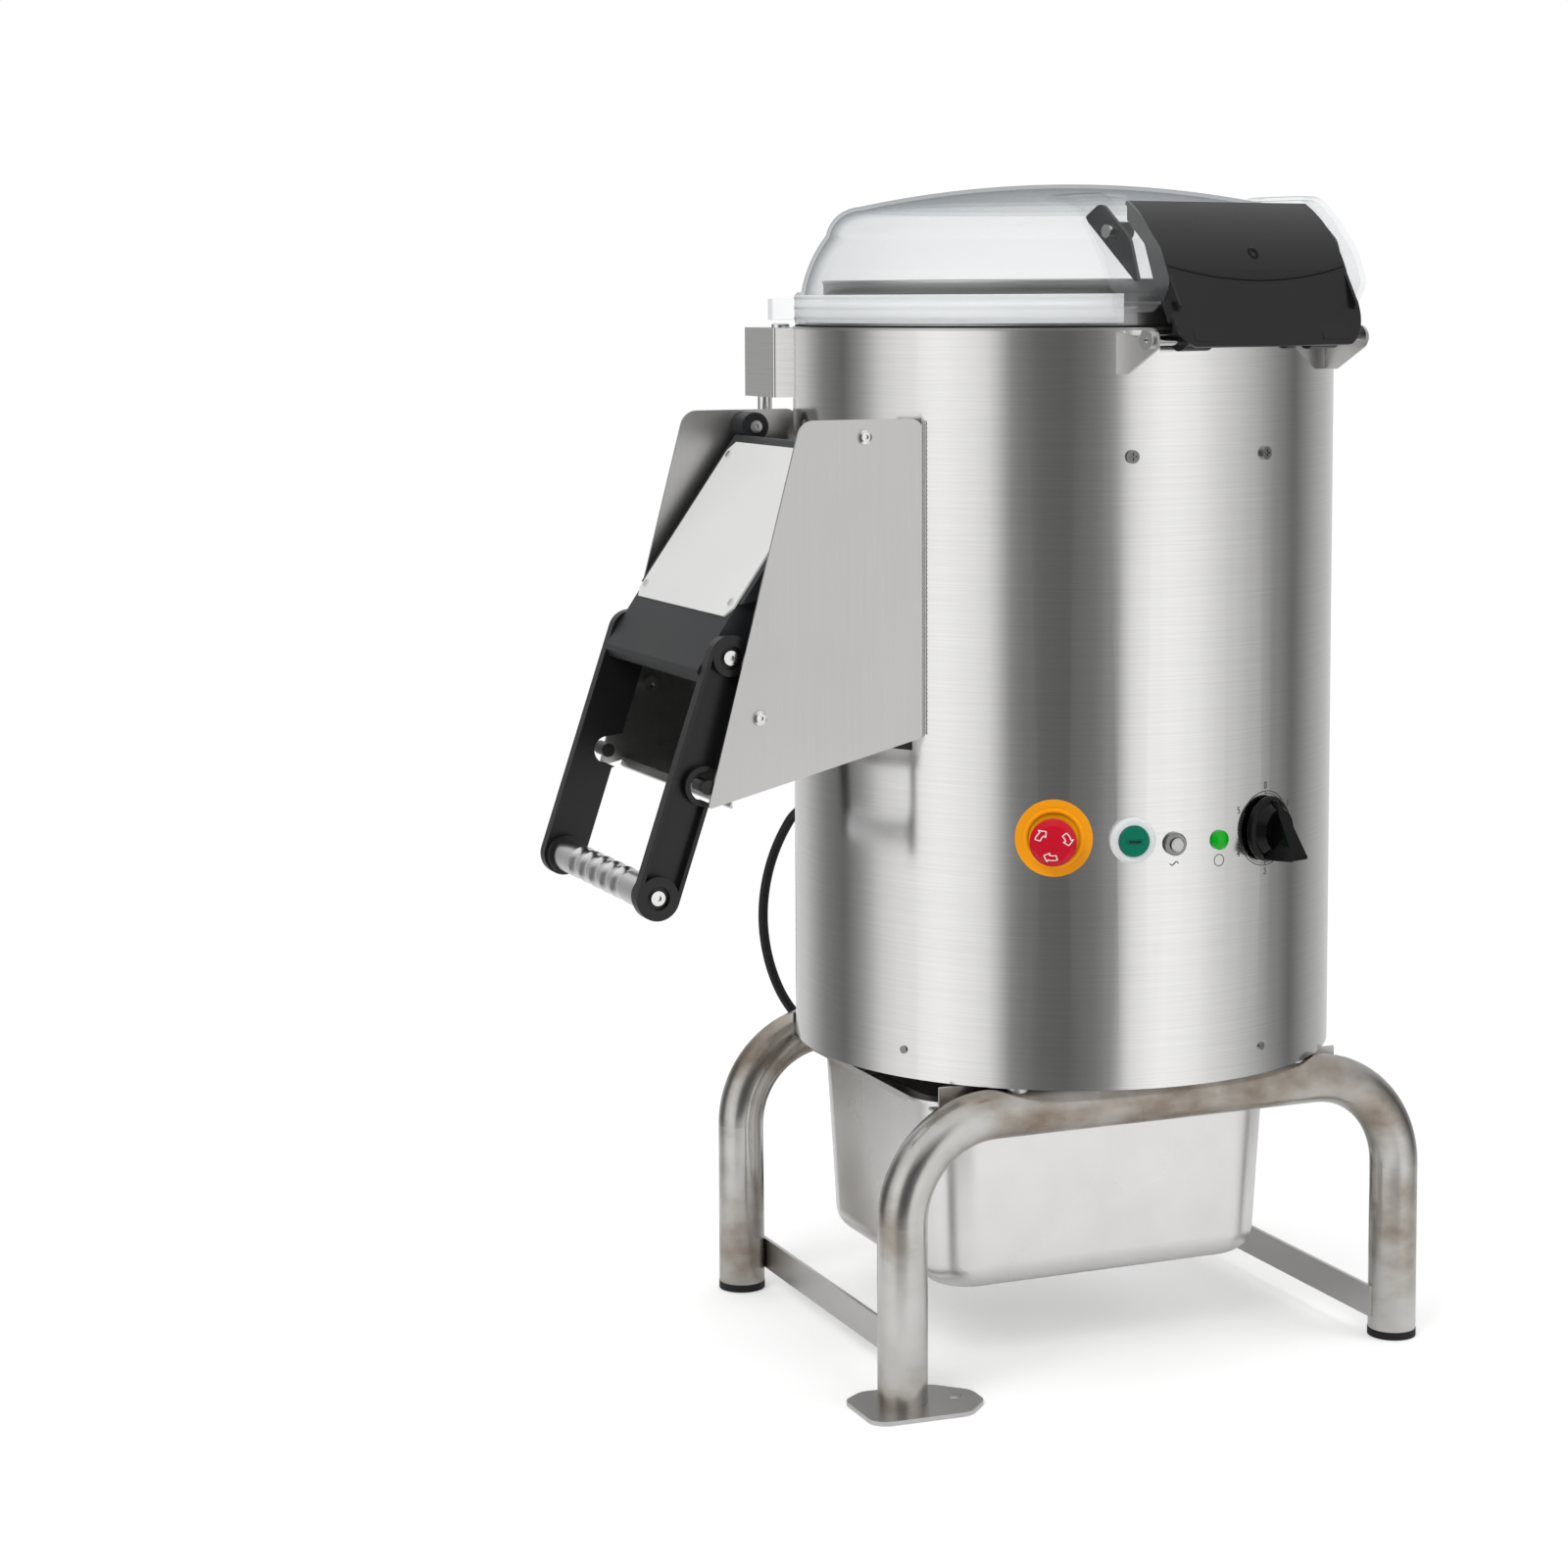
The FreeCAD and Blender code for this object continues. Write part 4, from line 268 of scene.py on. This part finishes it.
looks = {
    "case": metal("case_steel", (0.85, 0.845, 0.835), 0.13, LEVEL_LINES, 40.0, 0.035, 0.04),
    "sheet": metal("sheet_steel", (0.62, 0.615, 0.605), 0.34, UPRIGHT_SHEET_LINES, 36.0, 0.018, 0.04),
    "tube": stained("tube_steel", 0.17),
    "pan": metal("pan_steel", (0.80, 0.795, 0.785), 0.27, EVEN, 30.0, 0.03),
    "bright": metal("bright_steel", (0.82, 0.82, 0.81), 0.14, EVEN, 80.0, 0.04),
    "alu": metal("turned_aluminium", (0.84, 0.84, 0.85), 0.22, TURNED_LINES, 30.0),
    "dark_ring": metal("dark_ring_steel", (0.30, 0.30, 0.30), 0.3, EVEN, 80.0, 0.04),
    "iron": plastic("grey_iron", (0.12, 0.12, 0.125), 0.5),
    "black": plastic("black_plastic", (0.010, 0.010, 0.011), 0.33, 0.10, 900.0, 0.25, 0.4),
    "gloss": plastic("black_gloss", (0.003, 0.003, 0.003), 0.12, 0.02, 300.0, 0.2, 0.2),
    "door": plastic("door_plastic", (0.019, 0.020, 0.022), 0.42, 0.2, 600.0, 0.2, 0.4),
    "rubber": plastic("black_rubber", (0.012, 0.012, 0.012), 0.55, 0.2),
    "lead": plastic("lead_sheath", (0.012, 0.012, 0.012), 0.42, 0.1, 400.0),
    "grit": plastic("grit", (0.10, 0.092, 0.085), 0.85, 1.0, 500.0, 0.5),
    "red": plastic("red_plastic", (0.56, 0.004, 0.020), 0.28, 0.03, 300.0, 0.08, 0.2),
    "yellow": plastic("yellow_plastic", (0.92, 0.36, 0.004), 0.4, 0.03, 300.0, 0.05, 0.15),
    "green": plastic("green_plastic", (0.0, 0.16, 0.095), 0.3, 0.03, 300.0, 0.1, 0.15),
    "lamp": plastic("green_lens", (0.0, 0.42, 0.01), 0.14, 0.02, 200.0, 0.2, 0.35),
    "white": plastic("white_plastic", (0.72, 0.745, 0.75), 0.3, 0.02, 300.0, 0.06, 0.4),
    "face": plastic("pale_sheet", (0.66, 0.66, 0.655), 0.34, 0.04, 500.0, 0.03),
    "grey": plastic("grey_plastic", (0.10, 0.105, 0.105), 0.3, 0.03, 300.0),
    "print": plastic("black_print", (0.05, 0.05, 0.05), 0.5, 0.0),
    "mark": plastic("white_print", (0.85, 0.82, 0.8), 0.5, 0.0),
    "clear": clear("clear_plastic", 0.035),
    # Milky plastic with a painted glow, for the pale band round the lid's skirt
    "pale_painted_glow": clear("milky_plastic_painted_glow", 0.45, 0.2),
}
looks_of = {
    "case": "body_shell switch_box",
    "sheet": "chute_plate_front chute_plate_rear chute_floor tie_bars foot_plates pan_runners body_spacers "
             "hinge_brackets breaker_button base_plate drum_wall drum_floor top_rim_ring",
    "tube": "front_leg_tube rear_leg_tube",
    "pan": "waste_pan",
    "bright": "chute_screws door_screws grip_bolt hinge_rod lid_cover_screws disc_shaft "
              "shaft_bearings water_inlet interlock_rod",
    "alu": "grip_tube",
    "iron": "bearing_housing disc_pulley motor_pulley motor",
    "door": "door_shell",
    "black": "chute_strikers lever_arm_front lever_arm_rear lid_hinge_cover contact_blocks timer_body cord_gland",
    "dark_ring": "breaker_collar panel_screws",
    "gloss": "timer_knob",
    "rubber": "rubber_feet lid_gasket shaft_seal drive_belt",
    "lead": "cord_plug cord_coil",
    "grit": "drum_lining peeling_disc",
    "red": "estop_head",
    "yellow": "estop_plate",
    "green": "start_button",
    "lamp": "lamp_lens",
    "white": "start_bezel",
    "face": "door_face_plate",
    "grey": "estop_stem",
    "clear": "lid_dome",
}
for look, names in looks_of.items():
    for name in names.split():
        nodes[name].data.materials.clear()
        nodes[name].data.materials.append(looks[look])


# The lead: one smooth line with part.py's route points
def cord_curve(name, points, radius):
    """A round cord along a smooth curve, with its points and radius in metres."""
    curve = bpy.data.curves.new(name, "CURVE")
    curve.dimensions = "3D"
    curve.bevel_depth = radius
    curve.bevel_resolution = 6
    curve.resolution_u = 16
    curve.use_fill_caps = True
    spline = curve.splines.new("NURBS")
    spline.points.add(len(points) - 1)
    for point, spot in zip(spline.points, points):
        point.co = (*spot, 1.0)
    spline.order_u = 3
    spline.use_endpoint_u = True
    piece = bpy.data.objects.new(name, curve)
    bpy.context.collection.objects.link(piece)
    curve.materials.append(looks["lead"])
    return piece


GLAND_BEARING = math.radians(112.0)
GLAND_Z = 395.0
GLAND_TIP = 239.0
FIRST_BEND = 294.0
ROUTE = ((-129.5, 296, 348), (-144.5, 290, 298), (-144.7, 276, 250), (-130, 262, 208), (-98, 251, 180),
         (-62, 243, 150), (-34, 238, 112), (-16, 233, 70), (6, 229.6, 34), (44, 228.9, 11.5), (84, 229.45, 4.75),
         (110, 229.45, 4.75))
outward = Vector((math.cos(GLAND_BEARING), math.sin(GLAND_BEARING)))
exit_spot = at(GLAND_TIP * outward.x, GLAND_TIP * outward.y, GLAND_Z)
first_bend = at(FIRST_BEND * outward.x, FIRST_BEND * outward.y, GLAND_Z)
lead_points = [exit_spot, first_bend] + [at(*point) for point in ROUTE]
lead = cord_curve("lead", lead_points, LEAD_R * MM)
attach(lead, "machine")
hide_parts("power_cord")


# Small meshes
def mesh_piece(name, verts, faces, look, body="machine", smooth=False):
    """A mesh with one look that rides a body."""
    mesh = bpy.data.meshes.new(name)
    mesh.from_pydata([tuple(v) for v in verts], [], faces)
    mesh.update()
    mesh.materials.append(looks[look])
    if smooth:
        mesh.shade_smooth()
    piece = bpy.data.objects.new(name, mesh)
    bpy.context.collection.objects.link(piece)
    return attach(piece, body)


def tube_faces(rows, sides, closed=False):
    """Faces of a tube whose points come in rows, one row of corners after another."""
    faces = []
    for i in range(rows if closed else rows - 1):
        near = i * sides
        far = (i + 1) % rows * sides
        for k in range(sides):
            after = (k + 1) % sides
            faces.append((near + k, near + after, far + after, far + k))
    return faces


def first_hit(name, start, end):
    """Where a straight line first meets a piece, or None."""
    piece = nodes[name]
    back = piece.matrix_world.inverted()
    ray = back @ end - back @ start
    hit, spot, _, _ = piece.ray_cast(back @ start, ray.normalized(), distance=ray.length)
    return piece.matrix_world @ spot if hit else None


def on_case(u, v, w, bearing, z):
    """A point u mm to the right and v mm up from a place on the casing, w mm above its surface."""
    angle = math.radians(bearing) + u / CASE_R
    return at((CASE_R + w) * math.cos(angle), (CASE_R + w) * math.sin(angle), z + v)


def around(radius, degrees):
    """A (u, v) point on a circle, in degrees clockwise from the top."""
    angle = math.radians(degrees)
    return radius * math.sin(angle), radius * math.cos(angle)


def arc_points(radius, start, end, count):
    """The (u, v) points of an arc, in degrees clockwise from the top."""
    return [around(radius, start + (end - start) * i / count) for i in range(count + 1)]


# Printed lines
PRINT_LOW, PRINT_HIGH = 0.02, 0.12
MARK_LOW, MARK_HIGH = 0.03, 0.22


def sideways(points, i, closed):
    """The direction to the left of a line at one of its points."""
    last = len(points) - 1
    before = points[i - 1] if i > 0 or closed else points[i]
    after = points[(i + 1) % len(points)] if i < last or closed else points[i]
    du, dv = after[0] - before[0], after[1] - before[1]
    span = math.hypot(du, dv) or 1.0
    return -dv / span, du / span


def line_faces(count, closed):
    """Faces along a printed line with four corners at each point."""
    faces = []
    for i in range(count if closed else count - 1):
        a = 4 * i
        b = 4 * ((i + 1) % count)
        faces += [(a, b, b + 2, a + 2), (a + 1, a + 3, b + 3, b + 1),
                  (a + 2, b + 2, b + 3, a + 3), (a, a + 1, b + 1, b)]
    return faces


def strip(points, width, bearing, z, closed=False):
    """A thin printed line on the casing through (u, v) points."""
    verts = []
    for i, (u, v) in enumerate(points):
        nu, nv = (part * width / 2 for part in sideways(points, i, closed))
        for w in (PRINT_LOW, PRINT_HIGH):
            verts.append(on_case(u + nu, v + nv, w, bearing, z))
            verts.append(on_case(u - nu, v - nv, w, bearing, z))
    faces = line_faces(len(points), closed)
    if not closed:
        last = 4 * (len(points) - 1)
        faces += [(0, 2, 3, 1), (last, last + 1, last + 3, last + 2)]
    return verts, faces


def surface_height(name, u, v, bearing, z):
    """Height above the casing at which a piece is met from outside, in mm, or None."""
    spot = first_hit(name, on_case(u, v, 60.0, bearing, z), on_case(u, v, -10.0, bearing, z))
    if spot is None:
        return None
    spot = spot - AXIS
    return math.hypot(spot.x, spot.y) / MM - CASE_R


def lie_on(name, points, width, bearing, z, closed=False):
    """A printed line that follows the surface of a piece."""
    verts = []
    for i, (u, v) in enumerate(points):
        nu, nv = sideways(points, i, closed)
        for offset in (width / 2, -width / 2):
            a, b = u + nu * offset, v + nv * offset
            w = surface_height(name, a, b, bearing, z)
            if w is None:
                w = surface_height(name, u, v, bearing, z)
            for lift in (MARK_LOW, MARK_HIGH):
                verts.append(on_case(a, b, w + lift, bearing, z))
    return verts, line_faces(len(points), closed)


def joined(parts):
    """Several (verts, faces) lists as one."""
    verts = []
    faces = []
    for some_verts, some_faces in parts:
        base = len(verts)
        verts += some_verts
        faces += [tuple(i + base for i in face) for face in some_faces]
    return verts, faces


# The timer's dial, and the signs under the reset button and the lamp
DIGITS = {
    "0": [[(-1, 1.6), (-0.6, 2.3), (0.6, 2.3), (1, 1.6), (1, -1.6), (0.6, -2.3), (-0.6, -2.3), (-1, -1.6),
           (-1, 1.6)]],
    "1": [[(-0.6, 1.5), (0.3, 2.3), (0.3, -2.3)]],
    "2": [[(-1, 1.5), (-0.5, 2.3), (0.6, 2.3), (1, 1.4), (0.8, 0.5), (-1, -2.3), (1.1, -2.3)]],
    "3": [[(-1, 2.3), (1, 2.3), (0, 0.5), (0.8, 0.2), (1, -1.2), (0.5, -2.2), (-0.5, -2.3), (-1, -1.6)]],
    "4": [[(0.5, -2.3), (0.5, 2.3), (-1.1, -0.9), (1.2, -0.9)]],
    "5": [[(1, 2.3), (-0.8, 2.3), (-0.9, 0.4), (0.4, 0.6), (1, -0.3), (0.9, -1.6), (0.2, -2.3), (-1, -2.0)]],
}
DIAL_R = 28.5
SCALE_R = 26.6
DIGIT_R = 33.0
TICK_FROM, TICK_TO = 25.8, 28.4
DIGIT_STEP = 60.0
WAVE_HALF, WAVE_RISE, WAVE_DROP = 3.6, 1.2, 15.0
CIRCLE_R, CIRCLE_DROP = 4.4, 15.5

dial = [strip(arc_points(DIAL_R, 0, 360, 72)[:-1], 0.6, *TIMER, closed=True),
        strip(arc_points(SCALE_R, 0, 300, 60), 0.45, *TIMER)]
for number in range(len(DIGITS)):
    bearing = DIGIT_STEP * number
    u, v = around(DIGIT_R, bearing)
    dial.append(strip([around(TICK_FROM, bearing), around(TICK_TO, bearing)], 0.5, *TIMER))
    for line in DIGITS[str(number)]:
        dial.append(strip([(u + du, v + dv) for du, dv in line], 0.75, *TIMER))
mesh_piece("dial_print", *joined(dial), "print")
wave = [(u, WAVE_RISE * math.sin(u / WAVE_HALF * math.pi) - WAVE_DROP)
        for u in [-WAVE_HALF + WAVE_HALF / 10 * i for i in range(21)]]
mesh_piece("reset_sign", *strip(wave, 0.85, *RESET), "print")
circle = [(u, v - CIRCLE_DROP) for u, v in arc_points(CIRCLE_R, 0, 360, 40)[:-1]]
mesh_piece("lamp_sign", *strip(circle, 0.6, *LAMP, closed=True), "print")

# Weld beads where the chute's plates meet the casing
PLATE_HALF = 121.5
WELD_Y = 121.8
WELD_R = 1.5
WELD_STEP = 0.9
WELD_LOW, WELD_HIGH = 502, 738


def bead(name, start, end, radius, sides=8):
    """A rippled weld bead along a straight line."""
    count = max(2, int((end - start).length / (WELD_STEP * MM)))
    steps = [start.lerp(end, i / count) for i in range(count)] + [end]
    verts = []
    for i, spot in enumerate(steps):
        along = (steps[min(i + 1, count)] - steps[max(i - 1, 0)]).normalized()
        side = along.cross(Vector((1, 0, 0))).normalized()
        other = along.cross(side)
        ripple = radius * (1.0 + 0.16 * math.sin(i * 1.7)) * MM
        for k in range(sides):
            angle = 2 * math.pi * k / sides
            verts.append(spot + side * (ripple * math.cos(angle)) + other * (ripple * math.sin(angle)))
    return mesh_piece(name, verts, tube_faces(len(steps), sides), "sheet", smooth=True)


weld_x = -math.sqrt(CASE_R ** 2 - PLATE_HALF ** 2) - 0.2
for side, name in ((-1, "weld_front"), (1, "weld_rear")):
    bead(name, at(weld_x, side * WELD_Y, WELD_LOW), at(weld_x, side * WELD_Y, WELD_HIGH), WELD_R)

# The stop button's arrows and ring, and the start button's bar
ARROWS_FROM = 68.0
ARROW_BACK, ARROW_NECK, ARROW_TIP = -22, 8, 27
ARROW_IN, ARROW_OUT = 8.6, 12.2
HEAD_IN, HEAD_MIDDLE, HEAD_OUT = 6.8, 10.4, 14.0
ARROW_STEP = 0.8
RING_SECTION = ((18.6, 1.2), (19.2, 3.0), (21.0, 3.4), (22.4, 2.6), (23.0, 1.2))
RING_STEPS = 72

arrows = []
for third in range(3):
    middle = ARROWS_FROM + 120.0 * third
    corners = arc_points(ARROW_OUT, middle + ARROW_BACK, middle + ARROW_NECK, 10)
    corners += [around(HEAD_OUT, middle + ARROW_NECK), around(HEAD_MIDDLE, middle + ARROW_TIP),
                around(HEAD_IN, middle + ARROW_NECK)]
    corners += arc_points(ARROW_IN, middle + ARROW_NECK, middle + ARROW_BACK, 10)
    outline = []
    for start, end in zip(corners, corners[1:] + corners[:1]):
        count = max(1, int(math.hypot(end[0] - start[0], end[1] - start[1]) / ARROW_STEP))
        outline += [tuple(a + (b - a) * i / count for a, b in zip(start, end)) for i in range(count)]
    arrows.append(lie_on("estop_head", outline, 0.7, *ESTOP, closed=True))
mesh_piece("turn_arrows", *joined(arrows), "mark", "stop_head")
ring = [on_case(*around(r, 360.0 / RING_STEPS * i), w, *ESTOP) for i in range(RING_STEPS) for r, w in RING_SECTION]
mesh_piece("estop_ring", ring, tube_faces(RING_STEPS, len(RING_SECTION), True), "yellow", smooth=True)
mesh_piece("start_sign", *lie_on("start_button", [(-4.6, 0), (4.6, 0)], 1.6, *START), "rubber", "start_key")

# The hinge cover's curved groove and its middle screw
hinge_angle = math.radians(HINGE_BEARING)


def by_hinge(s, t, z):
    """A point s mm out from the drum's axis and t mm along the hinge."""
    return at(s * math.cos(hinge_angle) - t * math.sin(hinge_angle),
              s * math.sin(hinge_angle) + t * math.cos(hinge_angle), z)


def turned_piece(name, spot, axis, profile, look, body, sides=32):
    """A small turned form from (radius, height) pairs in mm, closed at both ends."""
    axis = axis.normalized()
    side = axis.orthogonal().normalized()
    other = axis.cross(side)
    verts = []
    for radius, height in profile:
        for k in range(sides):
            angle = 2 * math.pi * k / sides
            verts.append(spot + axis * height * MM + (side * math.cos(angle) + other * math.sin(angle)) * radius * MM)
    last = (len(profile) - 1) * sides
    ends = [tuple(range(sides - 1, -1, -1)), tuple(range(last, last + sides))]
    return mesh_piece(name, verts, tube_faces(len(profile), sides) + ends, look, body)


GROOVE_HALF = 91.0
GROOVE_Z, GROOVE_RISE, COVER_HALF = 841.0, 11.0, 93.0
GROOVE_STEPS = 60
RIDGE_SECTION = ((-1.3, -0.6), (-0.5, 0.25), (0.5, 0.45), (1.3, -0.6))
SCREW_SPOT = (214.2, 0, 860.6)
SCREW_PROFILE = ((5.6, -1.5), (5.6, 0.9), (4.6, 1.5), (2.6, 1.6), (2.2, 0.4), (0.2, 0.4))

outward_level = (by_hinge(1, 0, 0) - by_hinge(0, 0, 0)).normalized()
groove = []
for i in range(GROOVE_STEPS + 1):
    t = GROOVE_HALF * (2 * i / GROOVE_STEPS - 1)
    z = GROOVE_Z + GROOVE_RISE * (t / COVER_HALF) ** 2
    spot = first_hit("lid_hinge_cover", by_hinge(300, t, z), by_hinge(150, t, z))
    if spot:
        groove.append(spot + outward_level * 0.05 * MM)
ridge = [spot + Vector((0, 0, rise * MM)) + outward_level * lift * MM
         for spot in groove for rise, lift in RIDGE_SECTION]
mesh_piece("cover_ridge", ridge, tube_faces(len(groove), len(RIDGE_SECTION)), "gloss", "lid", True)
cover_out = (by_hinge(0.9, 0, 0.43) - by_hinge(0, 0, 0)).normalized()
turned_piece("cover_screw", by_hinge(*SCREW_SPOT), cover_out, SCREW_PROFILE, "gloss", "lid")


# The drum's lip under the lid, and the ridges and the pale band round the lid's skirt, which is milky plastic with a
# painted glow
def swept_round(name, section, start, end, look, body, steps=160):
    """A closed (radius, z) section carried round the drum's axis between two bearings."""
    full = end - start >= 360.0
    count = steps if full else steps + 1
    verts = []
    faces = []
    corners = len(section)
    for i in range(count):
        angle = math.radians(start + (end - start) * i / steps)
        verts += [at(r * math.cos(angle), r * math.sin(angle), z) for r, z in section]
    for i in range(steps):
        for k in range(corners):
            a = i * corners
            b = (i + 1) % count * corners
            faces.append((a + k, b + k, b + (k + 1) % corners, a + (k + 1) % corners))
    if not full:
        last = (count - 1) * corners
        faces += [tuple(range(corners - 1, -1, -1)), tuple(range(last, last + corners))]
    return mesh_piece(name, verts, faces, look, body, True)


DRUM_LIP = ((188.6, 806), (190.2, 806), (190.2, 840), (191.6, 841.5), (190.8, 843), (188.6, 842))
RIDGE_HEIGHTS = (813.5, 821.5, 829.5)
BAND_IN, BAND_OUT = SKIRT_R + 0.05, SKIRT_R + 0.35
BAND_LOW, BAND_HIGH = 810.5, 832.0
skirt_from, skirt_to = HINGE_BEARING + SKIRT_GAP, HINGE_BEARING + 360 - SKIRT_GAP

swept_round("drum_lip", DRUM_LIP, 0, 360, "sheet", "machine")
for number, z in enumerate(RIDGE_HEIGHTS):
    section = ((SKIRT_R - 0.1, z - 1.1), (SKIRT_R + 0.9, z - 0.6), (SKIRT_R + 0.9, z + 0.6), (SKIRT_R - 0.1, z + 1.1))
    swept_round("skirt_ridge_" + str(number), section, skirt_from, skirt_to, "clear", "lid")
band = ((BAND_IN, BAND_LOW), (BAND_OUT, BAND_LOW), (BAND_OUT, BAND_HIGH), (BAND_IN, BAND_HIGH))
# The pale band stands in for the skirt's bright reflections: milky plastic under the lamps, with a painted glow
# added.
swept_round("skirt_band", band, skirt_from, skirt_to, "pale_painted_glow", "lid")


# Stage: white floor and surroundings, and soft lamps
def stage_plane(name, half, z, look):
    """A level square, with its sizes in metres."""
    verts = [(-half, -half, z), (half, -half, z), (half, half, z), (-half, half, z)]
    mesh = bpy.data.meshes.new(name)
    mesh.from_pydata(verts, [], [(0, 1, 2, 3)])
    mesh.materials.append(look)
    piece = bpy.data.objects.new(name, mesh)
    bpy.context.collection.objects.link(piece)


# The light and dark upright bands that polished pieces mirror, as (bearing, value)
STUDIO = ((-180, 0.92), (-169, 0.98), (-154, 0.86), (-147, 0.74), (-138, 0.24), (-127, 0.13), (-114, 0.11),
          (-102, 0.18), (-95, 0.28), (-88, 0.80), (-75, 1.0), (-60, 0.92), (-50, 0.74), (-40, 0.62), (-29, 0.45),
          (-17, 0.28), (-3, 0.13), (16, 0.36), (45, 0.62), (75, 0.68), (99, 0.57), (121, 0.22), (138, 0.12),
          (150, 0.30), (162, 0.68), (173, 0.82))
FLOOR_NEAR, FLOOR_FAR = ((0.12, 0.0), (0.32, 1.0)), ((0.11, 0.0), (0.26, 1.0))
FLOOR_HALF, FLOOR_Z = 12.0, -0.0005


def studio(tree, direction):
    """The studio's bands by compass bearing, and how far the direction points up."""
    split = add(tree, "ShaderNodeSeparateXYZ")
    tree.links.new(direction, split.inputs[0])
    part = add(tree, "ShaderNodeMath", operation="MULTIPLY_ADD")
    part.inputs[1].default_value = 0.5 / math.pi
    part.inputs[2].default_value = 0.5
    tree.links.new(calculated(tree, "ARCTAN2", split.outputs["Y"], split.outputs["X"]), part.inputs[0])
    bands = ramp(tree, part.outputs[0], [(degrees / 360.0 + 0.5, float(value)) for degrees, value in STUDIO])
    return bands, split.outputs["Z"]


# Near the stand the floor keeps its shadow. Further out it turns into plain white for the camera,
# and into the studio's bands for polished metal. Its distances run in units of four metres.
floor_look, tree, shader = new_material("floor_white")
shader.inputs["Base Color"].default_value = (0.86, 0.86, 0.86, 1)
shader.inputs["Roughness"].default_value = 0.8
shader.inputs["Specular IOR Level"].default_value = 0.1
matt = shader.outputs[0]
path = add(tree, "ShaderNodeLightPath")
geometry = add(tree, "ShaderNodeNewGeometry")
away = add(tree, "ShaderNodeVectorMath", operation="DISTANCE")
away.inputs[1].default_value = tuple(AXIS)
tree.links.new(geometry.outputs["Position"], away.inputs[0])
distance = add(tree, "ShaderNodeMath", operation="MULTIPLY")
distance.inputs[1].default_value = 0.25
tree.links.new(away.outputs["Value"], distance.inputs[0])
near_white = both(tree, matt, glow(tree, 0.30).outputs[0])
seen_floor = blend(tree, ramp(tree, distance.outputs[0], FLOOR_NEAR), near_white, glow(tree, 1.0).outputs[0])
onward = add(tree, "ShaderNodeVectorMath", operation="SCALE")
onward.inputs["Scale"].default_value = -1.0
tree.links.new(geometry.outputs["Incoming"], onward.inputs[0])
mirrored = glow(tree, 1.0)
tree.links.new(studio(tree, onward.outputs["Vector"])[0], mirrored.inputs["Color"])
shiny_floor = blend(tree, ramp(tree, distance.outputs[0], FLOOR_FAR), matt, mirrored.outputs[0])
seen = calculated(tree, "MAXIMUM", path.outputs["Is Camera Ray"], path.outputs["Is Transmission Ray"])
dull_floor = blend(tree, seen, matt, seen_floor)
floor = blend(tree, path.outputs["Is Glossy Ray"], dull_floor, shiny_floor)
tree.links.new(floor, tree.nodes["Material Output"].inputs["Surface"])
stage_plane("floor", FLOOR_HALF, FLOOR_Z, floor_look)

# The camera sees white, polished pieces mirror the bands, and the rest gets an even light
world = bpy.data.worlds.new("studio")
bpy.context.scene.world = world
world.use_nodes = True
tree = world.node_tree
place = add(tree, "ShaderNodeTexCoord")
bands, rise = studio(tree, place.outputs["Generated"])
glossy = add(tree, "ShaderNodeMix", data_type="RGBA")
tree.links.new(ramp(tree, rise, ((0.30, 0.0), (0.75, 1.0))), glossy.inputs["Factor"])
tree.links.new(bands, glossy.inputs["A"])
glossy.inputs["B"].default_value = (0.85, 0.85, 0.85, 1)
path = add(tree, "ShaderNodeLightPath")
seen = calculated(tree, "MAXIMUM", path.outputs["Is Camera Ray"], path.outputs["Is Transmission Ray"])
even = add(tree, "ShaderNodeMix", data_type="RGBA")
tree.links.new(seen, even.inputs["Factor"])
even.inputs["A"].default_value = (0.62, 0.62, 0.62, 1)
even.inputs["B"].default_value = (1, 1, 1, 1)
whole = add(tree, "ShaderNodeMix", data_type="RGBA")
tree.links.new(path.outputs["Is Glossy Ray"], whole.inputs["Factor"])
tree.links.new(even.outputs["Result"], whole.inputs["A"])
tree.links.new(glossy.outputs["Result"], whole.inputs["B"])
tree.links.new(whole.outputs["Result"], tree.nodes["Background"].inputs["Color"])


def lamp(name, spot, wide, power):
    """A square soft lamp aimed at the casing, with its width in metres and its power in watts."""
    light = bpy.data.lights.new(name, "AREA")
    light.shape = "RECTANGLE"
    light.size = wide
    light.size_y = wide
    light.energy = power
    piece = bpy.data.objects.new(name, light)
    bpy.context.collection.objects.link(piece)
    piece.location = spot
    piece.rotation_euler = (at(0, 0, 450) - spot).to_track_quat("-Z", "Y").to_euler()
    piece.visible_glossy = False


lamp("key", at(-2200, -1500, 2600), 1.6, 42.0)
lamp("fill", at(2300, -1900, 1500), 1.8, 24.0)
lamp("top", at(0, 200, 3000), 2.0, 24.0)
